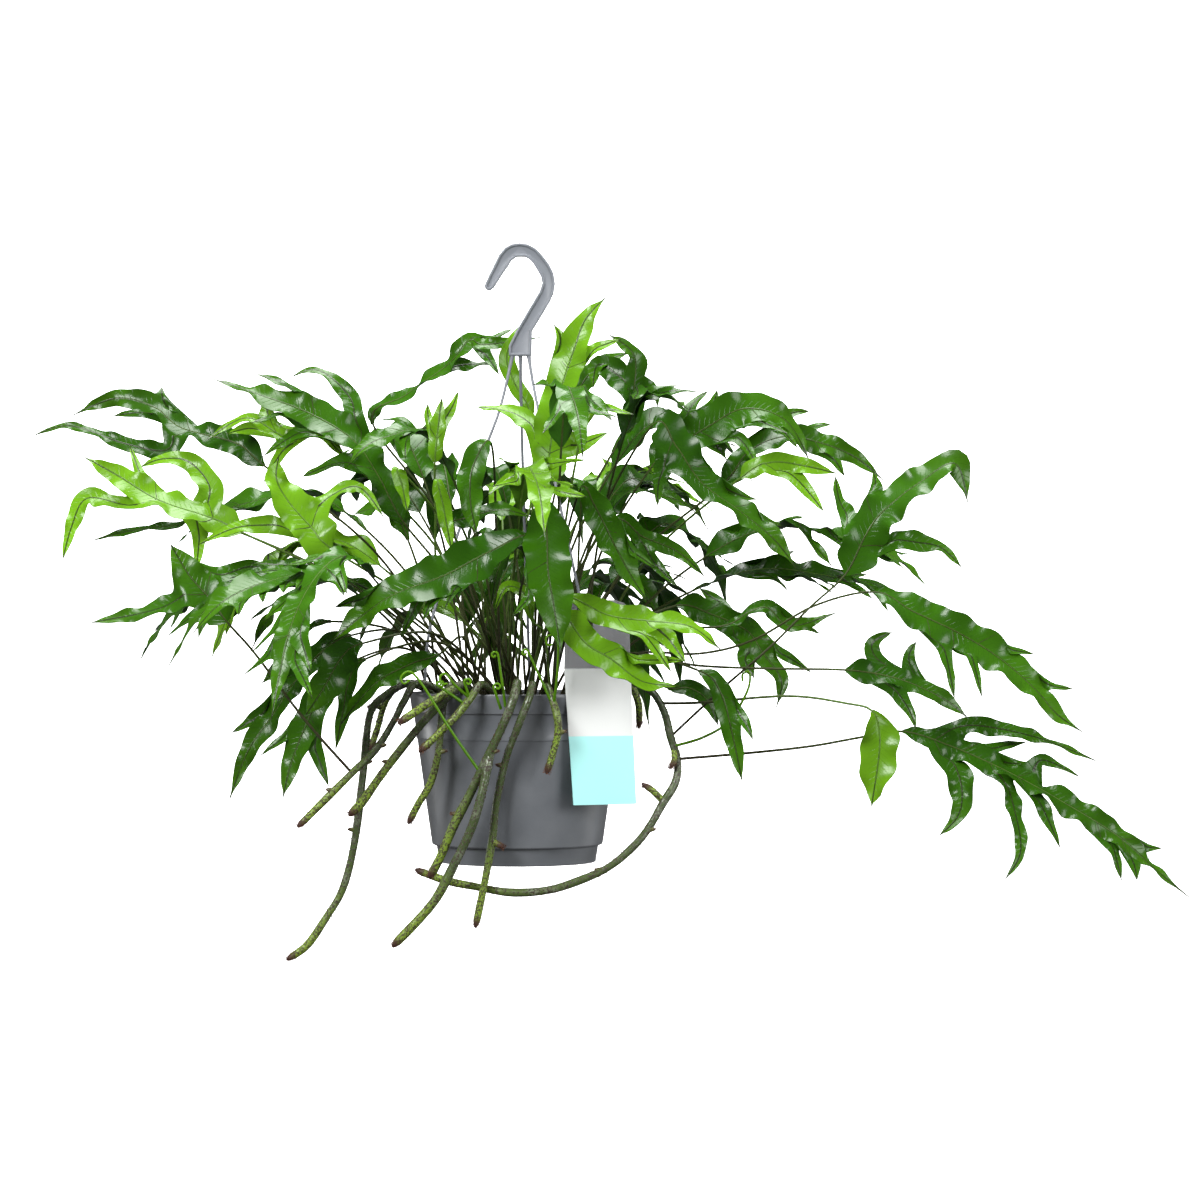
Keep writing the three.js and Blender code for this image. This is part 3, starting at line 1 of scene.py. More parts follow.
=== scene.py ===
# kangaroo fern in a hanging pot: fine fronds, rhizomes, pot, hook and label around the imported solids
import json
import math
import bpy
import numpy as np
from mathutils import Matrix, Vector

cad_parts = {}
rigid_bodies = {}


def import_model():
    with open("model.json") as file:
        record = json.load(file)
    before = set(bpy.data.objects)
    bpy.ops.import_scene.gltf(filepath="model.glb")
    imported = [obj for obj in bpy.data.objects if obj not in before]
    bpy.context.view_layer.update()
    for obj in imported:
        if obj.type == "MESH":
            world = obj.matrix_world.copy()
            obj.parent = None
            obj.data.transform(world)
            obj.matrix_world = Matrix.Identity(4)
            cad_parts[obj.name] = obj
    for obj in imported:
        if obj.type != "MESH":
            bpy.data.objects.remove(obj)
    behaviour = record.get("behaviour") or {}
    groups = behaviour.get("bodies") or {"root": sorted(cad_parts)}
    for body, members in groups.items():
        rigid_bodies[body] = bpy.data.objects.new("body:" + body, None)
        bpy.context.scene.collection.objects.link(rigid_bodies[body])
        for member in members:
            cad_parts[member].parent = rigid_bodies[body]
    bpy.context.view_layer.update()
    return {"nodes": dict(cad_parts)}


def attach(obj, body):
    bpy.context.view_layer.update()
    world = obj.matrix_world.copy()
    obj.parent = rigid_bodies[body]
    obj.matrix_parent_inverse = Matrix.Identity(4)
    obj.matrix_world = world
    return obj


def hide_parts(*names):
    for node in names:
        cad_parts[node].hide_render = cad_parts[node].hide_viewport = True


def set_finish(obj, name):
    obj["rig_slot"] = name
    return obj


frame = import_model()
print("packed model loaded:", len(frame["nodes"]), "nodes")

# the plant is laid out in millimetres, from the pot's axis and rim, as x, depth and height
plantOrigin = (-3.0, 0.0, -383.0)
layout = {
    "potHeight": 149, "hookOffset": 3, "hangHeight": 383, "lugRadius": 87.5, "lugDepth": -7,
    "soilLevel": -13, "holes": 60, "holeReach": 80, "footOffset": 2.5, "stemRadius": 1.4, "stemStep": 62,
    "stumpHeight": 16, "segment": 25, "ribHalf": 1, "lobeRows": 3, "lobeHalf": 0.85, "flat": 2,
    "foldUp": 0.16, "wave": 37, "waveShare": 0.28, "waveMost": 3.2, "twist": 0.34, "twistLength": 150,
    "facingPull": 0.4, "aside": 0.3, "front": -0.82, "up": (0.3, 0.85), "lobeLean": 0.55,
    "depthTries": [0, 10, -10, 20, -20, 30, -30, 42, -42, 55, -55, 70, -70],
    "fillerNodes": 24, "fillerTries": 160, "frontReach": 300, "sideReach": 350,
    "spanPoints": 8, "aheadBehind": 4, "cell": 3, "grid": (390, 310, 250), "corner": (-560, -460, -260),
    "pieceSeed": 400, "smooth": 55,
    "rootDepth": 9, "rootRise": 5, "rootOut": 6, "rootTop": 24, "rootReach": 76, "rootPull": 40,
    "rootNear": 20, "rootRing": (12, 70), "bendAt": 0.45, "bendRise": 0.62, "bendOver": 15, "bendMost": 52,
    "lobeFrom": (0.35, 0.62),
}


def grouped(numbers, size):
    return [tuple(numbers[i:i + size]) for i in range(0, len(numbers), size)]


# a rhizome's radius, its buds (share of its length and side) and its lines, the first from the soil
def rhizomeOf(radius, buds, *paths):
    return {"radius": radius, "buds": buds, "paths": [grouped(path, 3) for path in paths]}


# a frond's width, the distance of its blade's two ends behind the axis, and then x and height along the
# blade; each lobe has its width, its root and its line
def frondOf(width, near, far, blade, *lobes, stem=(), stemDepth=0, foot=None, young=False, wave=1):
    return {"width": width, "near": near, "far": far, "blade": grouped(blade, 2), "stem": grouped(stem, 2),
            "lobes": [(lobe[0], grouped(lobe[1:], 2)) for lobe in lobes],
            "stemDepth": stemDepth, "foot": foot, "young": young, "wave": wave}


rhizomes = {
    "rhizome_left_long": rhizomeOf(3.4, [(0.42, 1), (0.6, -1)],
        (-66, -14, 2, -92, -20, 8, -114, -26, -2, -128, -30, -19, -134, -34, -72, -141, -38, -130, -151,
        -40, -170, -166, -42, -196, -182, -44, -219, -199, -46, -231)),
    "rhizome_left_upper": rhizomeOf(3.2, [(0.55, 1), (0.8, -1)],
        (-56, -42, 4, -84, -42, 9, -98, -48, -8, -105, -52, -22, -121, -60, -48, -142, -70, -69, -166, -74,
        -93, -187, -78, -114)),
    "rhizome_left_front": rhizomeOf(3.7, [(0.7, -1)],
        (-36, -62, 4, -46, -82, 8, -56, -90, 0, -73, -92, -17, -94, -88, -42, -115, -84, -69, -132, -80,
        -93, -143, -78, -104), (-46, -82, 8, -72, -103, -6, -99, -108, -24)),
    "rhizome_left_short": rhizomeOf(3.3, [],
        (-20, -66, 4, -28, -91, 9, -38, -104, -3, -50, -107, -18, -66, -108, -34, -81, -110, -48)),
    "rhizome_left_behind": rhizomeOf(3.2, [(0.6, 1)],
        (-40, -50, 4, -54, -74, 9, -61, -83, -4, -64, -86, -28, -66, -84, -50, -73, -80, -76, -84, -78, -95,
        -92, -76, -111)),
    "rhizome_front_long": rhizomeOf(3.9, [(0.5, 1), (0.75, -1)],
        (0, -70, 4, 2, -93, 10, 0, -107, 1, -8, -111, -21, -25, -107, -57, -40, -104, -88, -52, -102, -111,
        -63, -100, -137, -73, -98, -156),
        (-20, -107, -46, -29, -113, -88, -38, -112, -116, -50, -110, -141, -65, -109, -170, -79, -108, -188,
        -104, -107, -214)),
    "rhizome_front_right": rhizomeOf(3.3, [(0.45, -1)],
        (12, -72, 4, 15, -93, 9, 12, -104, -3, 3, -105, -26, -8, -97, -56, -16, -95, -92, -19, -93, -120,
        -25, -92, -155, -34, -91, -199), (-18, -94, -126, -9, -95, -131)),
    "rhizome_small_arch": rhizomeOf(3.2, [(0.7, 1)],
        (26, -62, 4, 27, -88, 7, 35, -101, -14, 37, -102, -30, 33, -101, -48, 27, -100, -67)),
    "rhizome_right_arc": rhizomeOf(3.5, [(0.5, 1), (0.62, -1), (0.9, 1)],
        (50, -36, 4, 82, -40, 11, 103, -39, 9, 119, -34, 0, 129, -34, -18, 134, -37, -38, 140, -42, -59,
        138, -48, -77, 127, -54, -95, 114, -60, -117, 100, -66, -133, 80, -72, -149, 55, -78, -160, 28, -82,
        -168, -4, -82, -170, -35, -80, -165, -60, -77, -160, -86, -74, -151),
        (127, -52, -93, 118, -54, -84, 109, -55, -78), (137, -40, -50, 137, -48, -58, 133, -52, -65)),
    "rhizome_right_short": rhizomeOf(3.1, [], (70, 14, 4, 94, 10, 8, 106, 6, -8, 107, 4, -32)),
    "rhizome_left_brown": rhizomeOf(3, [],
        (-64, 14, 4, -95, 12, 8, -114, 6, -4, -124, 2, -34, -130, 0, -52),
        (-118, 4, -14, -125, 3, -12, -132, 2, -14)),
}

rhizomeFronds = {
    "rhizome_left_upper": [
        frondOf(26, -66, -58, (-249, 62, -262, 80, -282, 102, -299, 130),
            (18, -258, 76, -306, 74, -368, 61), (14, -254, 68, -250, 104, -228, 110, -199, 100),
            (15, -276, 96, -318, 99, -358, 91), stem=(-141, -68, -170, -36, -193, -8, -225, 35),
            stemDepth=-70)],
    "rhizome_right_arc": [
        frondOf(30, -52, -56, (285, 103, 302, 136, 318, 158, 350, 183, 380, 199, 391, 164),
            (15, 304, 140, 282, 164, 278, 191), (14, 293, 116, 272, 136, 262, 161),
            (17, 306, 142, 345, 131, 367, 126, 386, 107), (16, 291, 112, 335, 104, 380, 92, 419, 66),
            stem=(134, -38, 180, 5, 220, 40, 255, 75), stemDepth=-37),
        frondOf(20, -46, -70, (335, -33, 375, -45, 420, -65, 470, -92, 520, -123, 552, -152, 580, -175),
            (13, 366, -42, 392, -28, 450, -38, 506, -60), (13, 412, -62, 429, -100, 432, -135, 415, -160),
            (20, 372, -46, 384, -78, 380, -104, 361, -122), (9, 440, -76, 456, -58, 490, -73),
            stem=(141, -57, 200, -52, 255, -46, 300, -38), stemDepth=-43, wave=1.4),
        frondOf(27, -84, -90, (306, -14, 312, -34, 311, -58, 305, -96),
            stem=(124, -9, 160, -8, 235, -2, 285, -8), stemDepth=-32, young=True)],
}

frondGroups = {
    "fronds_left_ribbons": [
        frondOf(20, 25, 55, (-225, 200, -250, 220, -300, 234, -325, 253, -360, 261, -400, 246),
            (13, -292, 232, -312, 214, -350, 220, -400, 236, -436, 225), wave=1.3),
        frondOf(9, 5, 20, (-270, 150, -300, 147, -342, 142, -376, 134))],
    "frond_left_bright": [
        frondOf(25, -35, -20, (-240, 140, -265, 152, -313, 168, -350, 190, -381, 207),
            (18, -270, 155, -270, 180, -290, 203, -315, 205, -336, 196),
            (11, -262, 150, -277, 130, -278, 104),
            (17, -318, 170, -340, 164, -376, 170, -388, 145, -394, 112), young=True)],
    "frond_left_pale": [
        frondOf(30, -80, -70, (-158, 125, -175, 143, -195, 165, -206, 185, -204, 204),
            (14, -176, 146, -205, 146, -240, 143, -272, 128),
            (13, -168, 138, -158, 172, -135, 178, -112, 150), young=True)],
    "frond_left_broad": [
        frondOf(28, -20, 0, (-100, 150, -122, 190, -145, 222, -185, 246, -232, 263, -269, 276),
            (14, -150, 226, -146, 256, -176, 284, -204, 277), (12, -196, 250, -200, 268, -232, 281),
            (16, -125, 195, -160, 200, -190, 188), (14, -160, 235, -195, 225, -222, 206))],
    "fronds_left_top": [
        frondOf(14, 45, 50, (-130, 238, -100, 264, -62, 292, -44, 313, -30, 309, 22, 316),
            (11, -78, 282, -50, 291, -16, 292), wave=1.4),
        frondOf(11, 15, 20, (-150, 205, -178, 231, -205, 225, -240, 242, -277, 222), young=True)],
    "frond_star": [
        frondOf(11, -62, -58, (-70, 200, -68, 222, -66, 240, -64, 256), (9, -68, 220, -76, 238, -77, 252),
            (9, -68, 222, -56, 248, -50, 264), (9, -70, 210, -54, 222, -41, 228), stem=(-64, 90, -70, 160),
            young=True),
        frondOf(11, -112, -118, (-96, 190, -95, 176, -91, 156), young=True)],
    "frond_centre_tall": [
        frondOf(27, -84, -72, (29, 180, 29, 205, 33, 232, 38, 258, 50, 295, 60, 322, 79, 343),
            (20, 31, 222, 0, 241, -36, 248), (20, 29, 198, 8, 214, -30, 225, -62, 224),
            (14, 30, 200, 52, 214, 81, 226), stem=(20, 60, 27, 130), young=True)],
    "fronds_behind_hook": [
        frondOf(13, 38, 36, (12, 240, -4, 275, -10, 300, 6, 330), young=True),
        frondOf(15, 52, 56, (48, 236, 50, 262, 70, 290, 100, 303)),
        frondOf(17, 40, 30, (96, 235, 103, 272, 102, 300, 80, 317), (10, 102, 262, 120, 270, 124, 252),
            (20, 100, 262, 72, 292, 66, 268))],
    "fronds_centre_hanging": [
        frondOf(19, -92, -104, (-20, 214, -35, 196, -38, 168, -32, 136)),
        frondOf(11, -110, -120, (-64, 182, -60, 158, -53, 122), young=True),
        frondOf(9, -100, -116, (-60, 112, -76, 92, -97, 48)),
        frondOf(15, -78, -86, (-60, 140, -38, 152, -12, 158, 14, 152))],
    "frond_front_strap": [
        frondOf(33, -140, -152, (24, 165, 28, 135, 29, 105, 33, 80, 40, 36))],
    "frond_front_left_strap": [
        frondOf(32, -112, -124, (14, 134, -20, 122, -58, 102, -100, 86, -130, 66, -156, 44))],
    "fronds_front_right": [
        frondOf(20, -118, -116, (40, 84, 80, 68, 115, 63, 150, 58, 176, 38), young=True),
        frondOf(22, -136, -122, (40, 70, 60, 45, 82, 31, 108, 12, 140, 8), (12, 94, 24, 120, 30, 146, 30),
            young=True)],
    "fronds_small_front": [
        frondOf(9, -92, -96, (15, 62, 8, 86, -8, 92, -18, 72), young=True),
        frondOf(9, -58, -52, (55, 215, 60, 236, 74, 244, 101, 239), young=True)],
    "fronds_right_hanging": [
        frondOf(22, -104, -116, (56, 176, 68, 162, 85, 128, 100, 100, 113, 80)),
        frondOf(12, -86, -98, (84, 150, 110, 136, 140, 123, 164, 101), (10, 104, 140, 118, 116, 141, 91))],
    "frond_right_glossy": [
        frondOf(28, -60, -84, (118, 232, 138, 214, 160, 182, 192, 158, 222, 133, 241, 108),
            (13, 140, 206, 124, 186, 122, 160))],
    "frond_right_arch": [
        frondOf(28, 5, 15, (118, 198, 140, 216, 168, 234, 200, 250, 236, 240, 258, 204),
            (13, 150, 222, 152, 250, 170, 268), (14, 172, 235, 196, 222, 212, 196))],
    "fronds_right_bright": [
        frondOf(14, -36, -46, (196, 188, 222, 201, 250, 198, 279, 191), (13, 210, 195, 246, 184, 268, 156),
            young=True)],
    "frond_right_dark": [
        frondOf(19, 30, 45, (180, 182, 204, 212, 235, 226, 272, 220, 302, 207, 326, 187),
            (12, 220, 222, 240, 246, 262, 250), wave=1.3)],
    "fronds_right_wavy": [
        frondOf(12, -12, 0, (180, 58, 203, 70, 220, 74, 240, 58, 281, 70), wave=1.5),
        frondOf(13, -86, -92, (132, 4, 150, 4, 166, -6, 176, -29))],
    "frond_right_long_strap": [
        frondOf(27, 12, -18, (312, 88, 345, 71, 385, 52, 420, 30, 450, 3, 468, -18, 491, -34),
            (8, 378, 55, 395, 30, 402, -5), stem=(105, 34, 160, 34, 207, 46, 260, 76))],
    "frond_right_low_lobed": [
        frondOf(17, -66, -60, (283, 21, 322, 15, 350, 5, 374, -8, 389, -21),
            (14, 294, 20, 306, 42, 326, 54), (12, 330, 14, 338, 32, 346, 46), (9, 350, 6, 374, 27, 394, 30),
            (12, 318, 12, 336, -12, 342, -30), stem=(105, 30, 160, 24, 215, 22))],
    "fronds_right_drooping": [
        frondOf(19, -34, -52, (140, 76, 172, 68, 202, 54, 216, 34, 232, 10, 227, -14),
            (12, 178, 66, 176, 78, 160, 92), (14, 205, 50, 200, 30, 208, 12)),
        frondOf(15, -60, -66, (158, 20, 176, 2, 186, -32, 195, -76), (9, 180, -10, 196, -22, 204, -40))],
    "frond_left_low": [
        frondOf(18, -6, -20, (-146, 50, -172, 35, -196, 8, -214, -20, -236, -52, -252, -95),
            (12, -190, 14, -206, 20, -224, 8), foot=(-60, 26), wave=1.2),
        frondOf(21, -34, -44, (-150, 24, -168, 4, -184, -30, -196, -62, -203, -92)),
        frondOf(10, 14, 8, (-165, 62, -188, 52, -206, 34, -225, 8), wave=1.4)],
    "fronds_left_front_low": [
        frondOf(25, -98, -106, (-130, 44, -148, 32, -163, 6, -178, -17), foot=(-44, -58)),
        frondOf(11, -62, -60, (-130, 30, -144, 12, -150, -18, -156, -49))],
    "frond_front_low": [
        frondOf(18, -100, -112, (-66, 34, -90, 26, -122, 8, -150, -26))],
}

curledShoots = {
    "rhizome_left_short": (-38, -104, -3, -50, -114, 8, -58, -118, 18, -63, -118, 16, -62, -118, 10, -57,
        -118, 10),
    "rhizome_small_arch": (33, -99, -8, 36, -108, 16, 37, -112, 42, 33, -112, 51, 27, -112, 49, 28, -112,
        43, 32, -112, 43),
    "rhizome_right_arc": (137, -40, -46, 162, -50, -38, 184, -54, -24, 200, -56, 2, 202, -56, 18, 196, -56,
        17, 196, -56, 11),
    "rhizome_front_long": (-30, -107, -65, -54, -114, -30, -76, -118, 6, -88, -120, 20, -96, -120, 16, -94,
        -120, 10, -89, -120, 13),
}


# lines through the points above
def smoothLine(controls):
    c = np.array(controls, float)
    a, b = c[:-1, None], c[1:, None]
    before = np.vstack([c[:1], c[:-2]])[:, None]
    after = np.vstack([c[2:], c[-1:]])[:, None]
    t = (np.arange(layout["spanPoints"]) / layout["spanPoints"])[None, :, None]
    line = 0.5 * (2 * a + (b - before) * t + (2 * before - 5 * a + 4 * b - after) * t * t
                  + (3 * a - before - 3 * b + after) * t * t * t)
    return np.vstack([line.reshape(-1, 3), c[-1:]])


def trackOf(controls):
    line = smoothLine(controls)
    run = np.concatenate([[0.0], np.cumsum(np.sqrt(((line[1:] - line[:-1]) ** 2).sum(1)))])
    return {"line": line, "run": run, "length": float(run[-1])}


def placesOn(track, distances, values="line"):
    return np.stack([np.interp(distances, track["run"], track[values][:, c]) for c in range(3)], -1)


def unit(vectors):
    return vectors / np.maximum(np.sqrt((vectors ** 2).sum(-1, keepdims=True)), 1e-12)


def cross(a, b):
    return np.stack([a[..., 1] * b[..., 2] - a[..., 2] * b[..., 1],
                     a[..., 2] * b[..., 0] - a[..., 0] * b[..., 2],
                     a[..., 0] * b[..., 1] - a[..., 1] * b[..., 0]], -1)


def directionsOn(track, distances):
    near = layout["aheadBehind"]
    before = placesOn(track, np.maximum(distances - near, 0))
    return unit(placesOn(track, np.minimum(distances + near, track["length"])) - before)


def scaled(x, y, z):
    size = math.sqrt(x * x + y * y + z * z)
    return x / size, y / size, z / size


# A track with the way across at each of its points, worked out from its tip down. A blade
# turns towards its facing without a jump, and a stem below it turns as little as it can.
def framed(track, facing, bladeStart):
    ways = directionsOn(track, track["run"])
    wanted = cross(ways, np.asarray(facing, float))
    x, y, z = unit(wanted[-1]).tolist()
    pulls = np.where(track["run"] >= bladeStart, layout["facingPull"], 0).tolist()
    across = []
    steps = zip(reversed(ways.tolist()), reversed(wanted.tolist()), reversed(pulls))
    for (ax, ay, az), (wx, wy, wz), pull in steps:
        back = x * ax + y * ay + z * az
        x, y, z = scaled(x - ax * back, y - ay * back, z - az * back)
        if pull and wx * x + wy * y + wz * z > 0:
            x, y, z = scaled(x + wx * pull, y + wy * pull, z + wz * pull)
        across.append((x, y, z))
    return {**track, "across": np.array(across[::-1])}


def sectionsAt(track, distances):
    distances = np.atleast_1d(np.asarray(distances, float))
    along = directionsOn(track, distances)
    across = placesOn(track, distances, "across")
    across = unit(across - along * (across * along).sum(-1, keepdims=True))
    return placesOn(track, distances), across, cross(across, along)


# the form of a frond: a lobed blade opens sooner than a plain one, and both close over their outer half
def halfWidth(frond, share):
    rise = np.minimum(share / (0.12 if frond["lobes"] else 0.3), 1)
    opening = np.sin(rise * math.pi / 2) ** 0.8
    closing = 1 - np.maximum((share - 0.55) / 0.45, 0) ** 1.6
    return np.maximum(frond["width"] / 2 * (opening * np.maximum(closing, 0)), layout["stemRadius"])


# a lobe is broadest where it leaves the blade
def lobeWidth(share):
    flare = 1 + 0.5 * np.maximum(1 - share / 0.3, 0) ** 2
    return flare * (1 - np.maximum((share - 0.3) / 0.7, 0) ** 1.5)


# a blade turns slowly to and fro about its rib
def bladeSections(track, distances, weight, phase):
    middle, across, out = sectionsAt(track, distances)
    turn = layout["twist"] * np.sin(2 * math.pi * distances / layout["twistLength"] + 1.9 * phase) * weight
    c, s = np.cos(turn)[:, None], np.sin(turn)[:, None]
    return middle, across * c + out * s, out * c - across * s


def frondTracks(frond):
    track = trackOf(frond["stem"] + frond["blade"])
    line, run = track["line"], track["run"]
    start = run[len(frond["stem"]) * layout["spanPoints"]]
    track = framed(track, frond["facing"], start)
    length = track["length"] - start
    segments = max(math.floor(length / layout["segment"] + 0.5), 3)
    taken, lobes = set(), []
    for width, (root, *rest) in frond["lobes"]:
        gaps = np.sqrt(((line - np.array(root)) ** 2).sum(1))
        gaps[run < start] = np.inf
        nearest = run[int(np.argmin(gaps))]
        middle, across, _ = sectionsAt(track, nearest)
        side = 1 if (np.array(rest[0]) - middle[0]) @ across[0] > 0 else -1
        segment = min(max(math.floor((nearest - start) / length * segments), 1), segments - 2)
        if (side, segment) in taken:
            continue
        taken.add((side, segment))
        root = placesOn(track, start + length * (segment + 0.5) / segments)
        path = framed(trackOf([list(root)] + [list(point) for point in rest]), frond["facing"], 0)
        lobes.append({"segment": segment, "side": side, "width": width, "track": path})
    return {"track": track, "start": start, "length": length, "segments": segments, "lobes": lobes}


# the solid frond as rings of four points, which tell how much room it takes
def ringsAt(track, distances, frond, half, thick, phase):
    half = np.broadcast_to(np.asarray(half, float), distances.shape)
    thick = np.broadcast_to(np.asarray(thick, float), distances.shape)
    wide = half > layout["flat"]
    middle, across, out = bladeSections(track, distances, wide, phase)
    rise = frond["wave"] * np.minimum(half * layout["waveShare"], layout["waveMost"])
    rings = np.repeat(middle[:, None, :], 4, axis=1)
    rings[:, 1] += out * thick[:, None]
    rings[:, 3] -= out * thick[:, None]
    for column, side in ((0, -1), (2, 1)):
        wave = np.sin(2 * math.pi * distances / layout["wave"] + phase + (2 if side > 0 else 0))
        lift = np.where(wide, half * layout["foldUp"] + rise * wave, 0)
        rings[:, column] += across * (side * half)[:, None] + out * lift[:, None]
    return rings


def frondRings(frond):
    tracks = frondTracks(frond)
    track, start, segments = tracks["track"], tracks["start"], tracks["segments"]
    count = max(math.floor(start / layout["stemStep"] + 0.5), 2)
    stump, radius = layout["stumpHeight"], layout["stemRadius"]
    distances = stump + (start - stump) * (np.arange(count + 1) - 1) / count
    distances[0] = 0
    stem = ringsAt(track, distances, frond, radius, radius, 0)
    share = np.arange(segments) / segments
    thick = np.full(segments, layout["ribHalf"], float)
    thick[0] += 0.3
    distances = start + tracks["length"] * share
    blade = ringsAt(track, distances, frond, halfWidth(frond, share), thick, frond["phase"])
    lobes = [lobeRings(frond, lobe, blade) for lobe in tracks["lobes"]]
    return stem, blade, placesOn(track, track["length"]), lobes


def lobeRings(frond, lobe, blade):
    a, b = blade[lobe["segment"]], blade[lobe["segment"] + 1]
    edge = 0 if lobe["side"] < 0 else 2
    edgeMiddle, ribMiddle = (a[edge] + b[edge]) / 2, (a[1] + b[3]) / 2
    track, length = lobe["track"], lobe["track"]["length"]
    half = np.linalg.norm(edgeMiddle - ribMiddle)
    direction = directionsOn(track, np.array([0.3 * length]))[0]
    steep = min(max(direction @ (edgeMiddle - ribMiddle) / half, 0.35), 1)
    clear = (half + lobe["width"] / 2 * math.sqrt(1 - steep * steep)) / steep
    low, high = layout["lobeFrom"]
    nearest = min(max(clear, low * length), high * length)
    rows = layout["lobeRows"] - 1
    distances = nearest + (length - nearest) * np.arange(rows) / rows
    width = lobe["width"] / 2 * lobeWidth(distances / length)
    rings = ringsAt(track, distances, frond, width, layout["lobeHalf"], frond["phase"] + lobe["segment"])
    root = edgeMiddle * 0.7 + ribMiddle * 0.3
    left, right = (a[0], b[0]) if lobe["side"] < 0 else (b[2], a[2])
    across = right - left + rings[0, 2] - rings[0, 0]
    along = (rings[0, 1] + rings[0, 3]) / 2 - root
    out = unit(unit(a[1] - a[3]) + unit(cross(across, along))) * layout["lobeHalf"]
    first = np.array([left, root + out, right, root - out])
    return np.concatenate([first[None], rings]), placesOn(track, length)


def sheetSamples(rings, tip):
    rows = np.stack([rings[:, 0], (rings[:, 1] + rings[:, 3]) / 2, rings[:, 2]], 1)
    rows = np.concatenate([rows, np.broadcast_to(tip, (1, 3, 3))])
    samples = []
    for a, b in zip(rows[:-1], rows[1:]):
        along = math.ceil(math.dist(a[1], b[1]) / layout["cell"])
        if along == 0:
            continue
        m = (np.arange(along) / along)[:, None]
        rib = a[1] + (b[1] - a[1]) * m
        for side in (0, 2):
            width = max(math.dist(a[side], a[1]), math.dist(b[side], b[1]))
            count = math.ceil(width / layout["cell"])
            edge = a[side] + (b[side] - a[side]) * m
            k = (np.arange(0 if side == 0 else 1, count + 1) / count)[None, :, None]
            samples.append((rib[:, None] + (edge - rib)[:, None] * k).reshape(-1, 3))
    return np.concatenate(samples)


def frondSamples(frond):
    stem, blade, tip, lobes = frondRings(frond)
    foot = sheetSamples(stem[1 if frond["rooted"] else 0:], blade[0, 1])
    return foot, np.concatenate([sheetSamples(blade, tip)] + [sheetSamples(*lobe) for lobe in lobes])


# what the fronds keep clear of: the hook, its strands and the label
hookForm = {
    "half": 3, "border": 2.1, "web": 1.7, "webEdge": 0.4, "bevel": 0.55, "smooth": 40,
    "pale": (0.155, 0.168, 0.190), "grey": (0.220, 0.234, 0.260), "worn": (0.42, 0.44, 0.47),
    "roughness": 0.36,
    "outline": [
        (-32.1, -25.6), (-28.1, -16.5), (-23, -6.2), (-19.3, 1.4), (-14.2, 7.6), (-8.4, 10.9), (-1.1, 12),
        (6.2, 10.9), (13.5, 6.9), (19.3, 0.7), (25.2, -7.3), (28.8, -14.6), (30.1, -23.4), (28.8, -32.1),
        (25.5, -39.4), (15.7, -55.9), (9.8, -65.3), (9.4, -87.3), (-10.6, -87.3), (-10.6, -78.5),
        (-4, -65.3), (6.2, -47.8), (16.4, -30.7), (18.8, -23.4), (17.5, -16.8), (13.5, -10.2),
        (10.6, -5.4), (7.7, -2.2), (3.6, 0), (-4, 0), (-8.4, -3.3), (-11.4, -8.4), (-15, -13.2),
        (-23.7, -27), (-27.7, -29.9), (-31.2, -28.4),
    ],
}
strandAngles = {"left": -66, "right": 54, "back": 174}
strandForm = {
    "radius": 1.3, "root": 2.3, "rootLength": 7, "rows": 120, "sides": 10, "top": 298,
    "barb": 0.9, "barbPlace": 1.2, "barbLength": 1.1,
    "bar": (-4.4, -4, -1.5, 0, 1.5, 4, 4.4), "barRadii": (0.9, 1.15, 1.25, 1.3, 1.25, 1.15, 0.9),
    "barDepth": -6.8, "leaf": (0, 0.5, 0),
    "left": [(-4, 298), (-15, 250), (-28, 213), (-55, 128), (-76, 55)],
    "right": [(9.5, 298), (14, 270), (21, 237), (39, 158), (60, 60)],
    "back": [(2.5, 298), (3, 250), (4, 200), (6, 120), (8, 50)],
}
label = {
    "left": 42, "right": 104, "crease": 22, "bottom": -95, "headTop": 81, "headCorner": 12,
    "yaw": 20, "lean": 44, "front": -87, "hole": (53, 67, 53, 73), "taper": 8, "headTaper": 5,
    "thick": 0.9, "curl": 0.6, "columns": 29, "cardRows": 40, "headRows": 26, "smooth": 30,
    "split": -36, "grey": (0.060, 0.062, 0.066), "white": (0.80, 0.82, 0.80),
    "turquoise": (0.42, 0.88, 0.85), "scuff": (0.5, 0.5, 0.5),
}


def aroundPot(degrees, radius):
    angle = math.radians(degrees)
    return radius * math.sin(angle), -radius * math.cos(angle)


def strandTrack(name):
    top = strandForm["top"]
    lugX, lugY = aroundPot(strandAngles[name], layout["lugRadius"])
    route = [[x, lugY * (top - z) / top, z] for x, z in strandForm[name]]
    return trackOf(route + [[lugX, lugY, 4], [lugX, lugY, layout["lugDepth"]]])


def labelPlace(x, z):
    rise = max(z - label["crease"], 0)
    depth = label["front"] + (x - label["left"]) * math.tan(math.radians(label["yaw"]))
    return depth + rise * math.tan(math.radians(label["lean"]))


def spaced(low, high):
    step = layout["cell"]
    return [low + step * k for k in range(math.floor((high - low) / step) + 1)]


# the pot's foot, wall and rim band, with a little room about them
potRoom = {"foot": 70, "footTop": -133, "wall": 88.3, "wallTop": -40, "slope": 0.14,
           "band": 92, "bandLow": -38}


def potRadius(z):
    if z < potRoom["footTop"]:
        return potRoom["foot"]
    if z < potRoom["bandLow"]:
        return potRoom["wall"] + (z - potRoom["wallTop"]) * potRoom["slope"]
    return potRoom["band"]


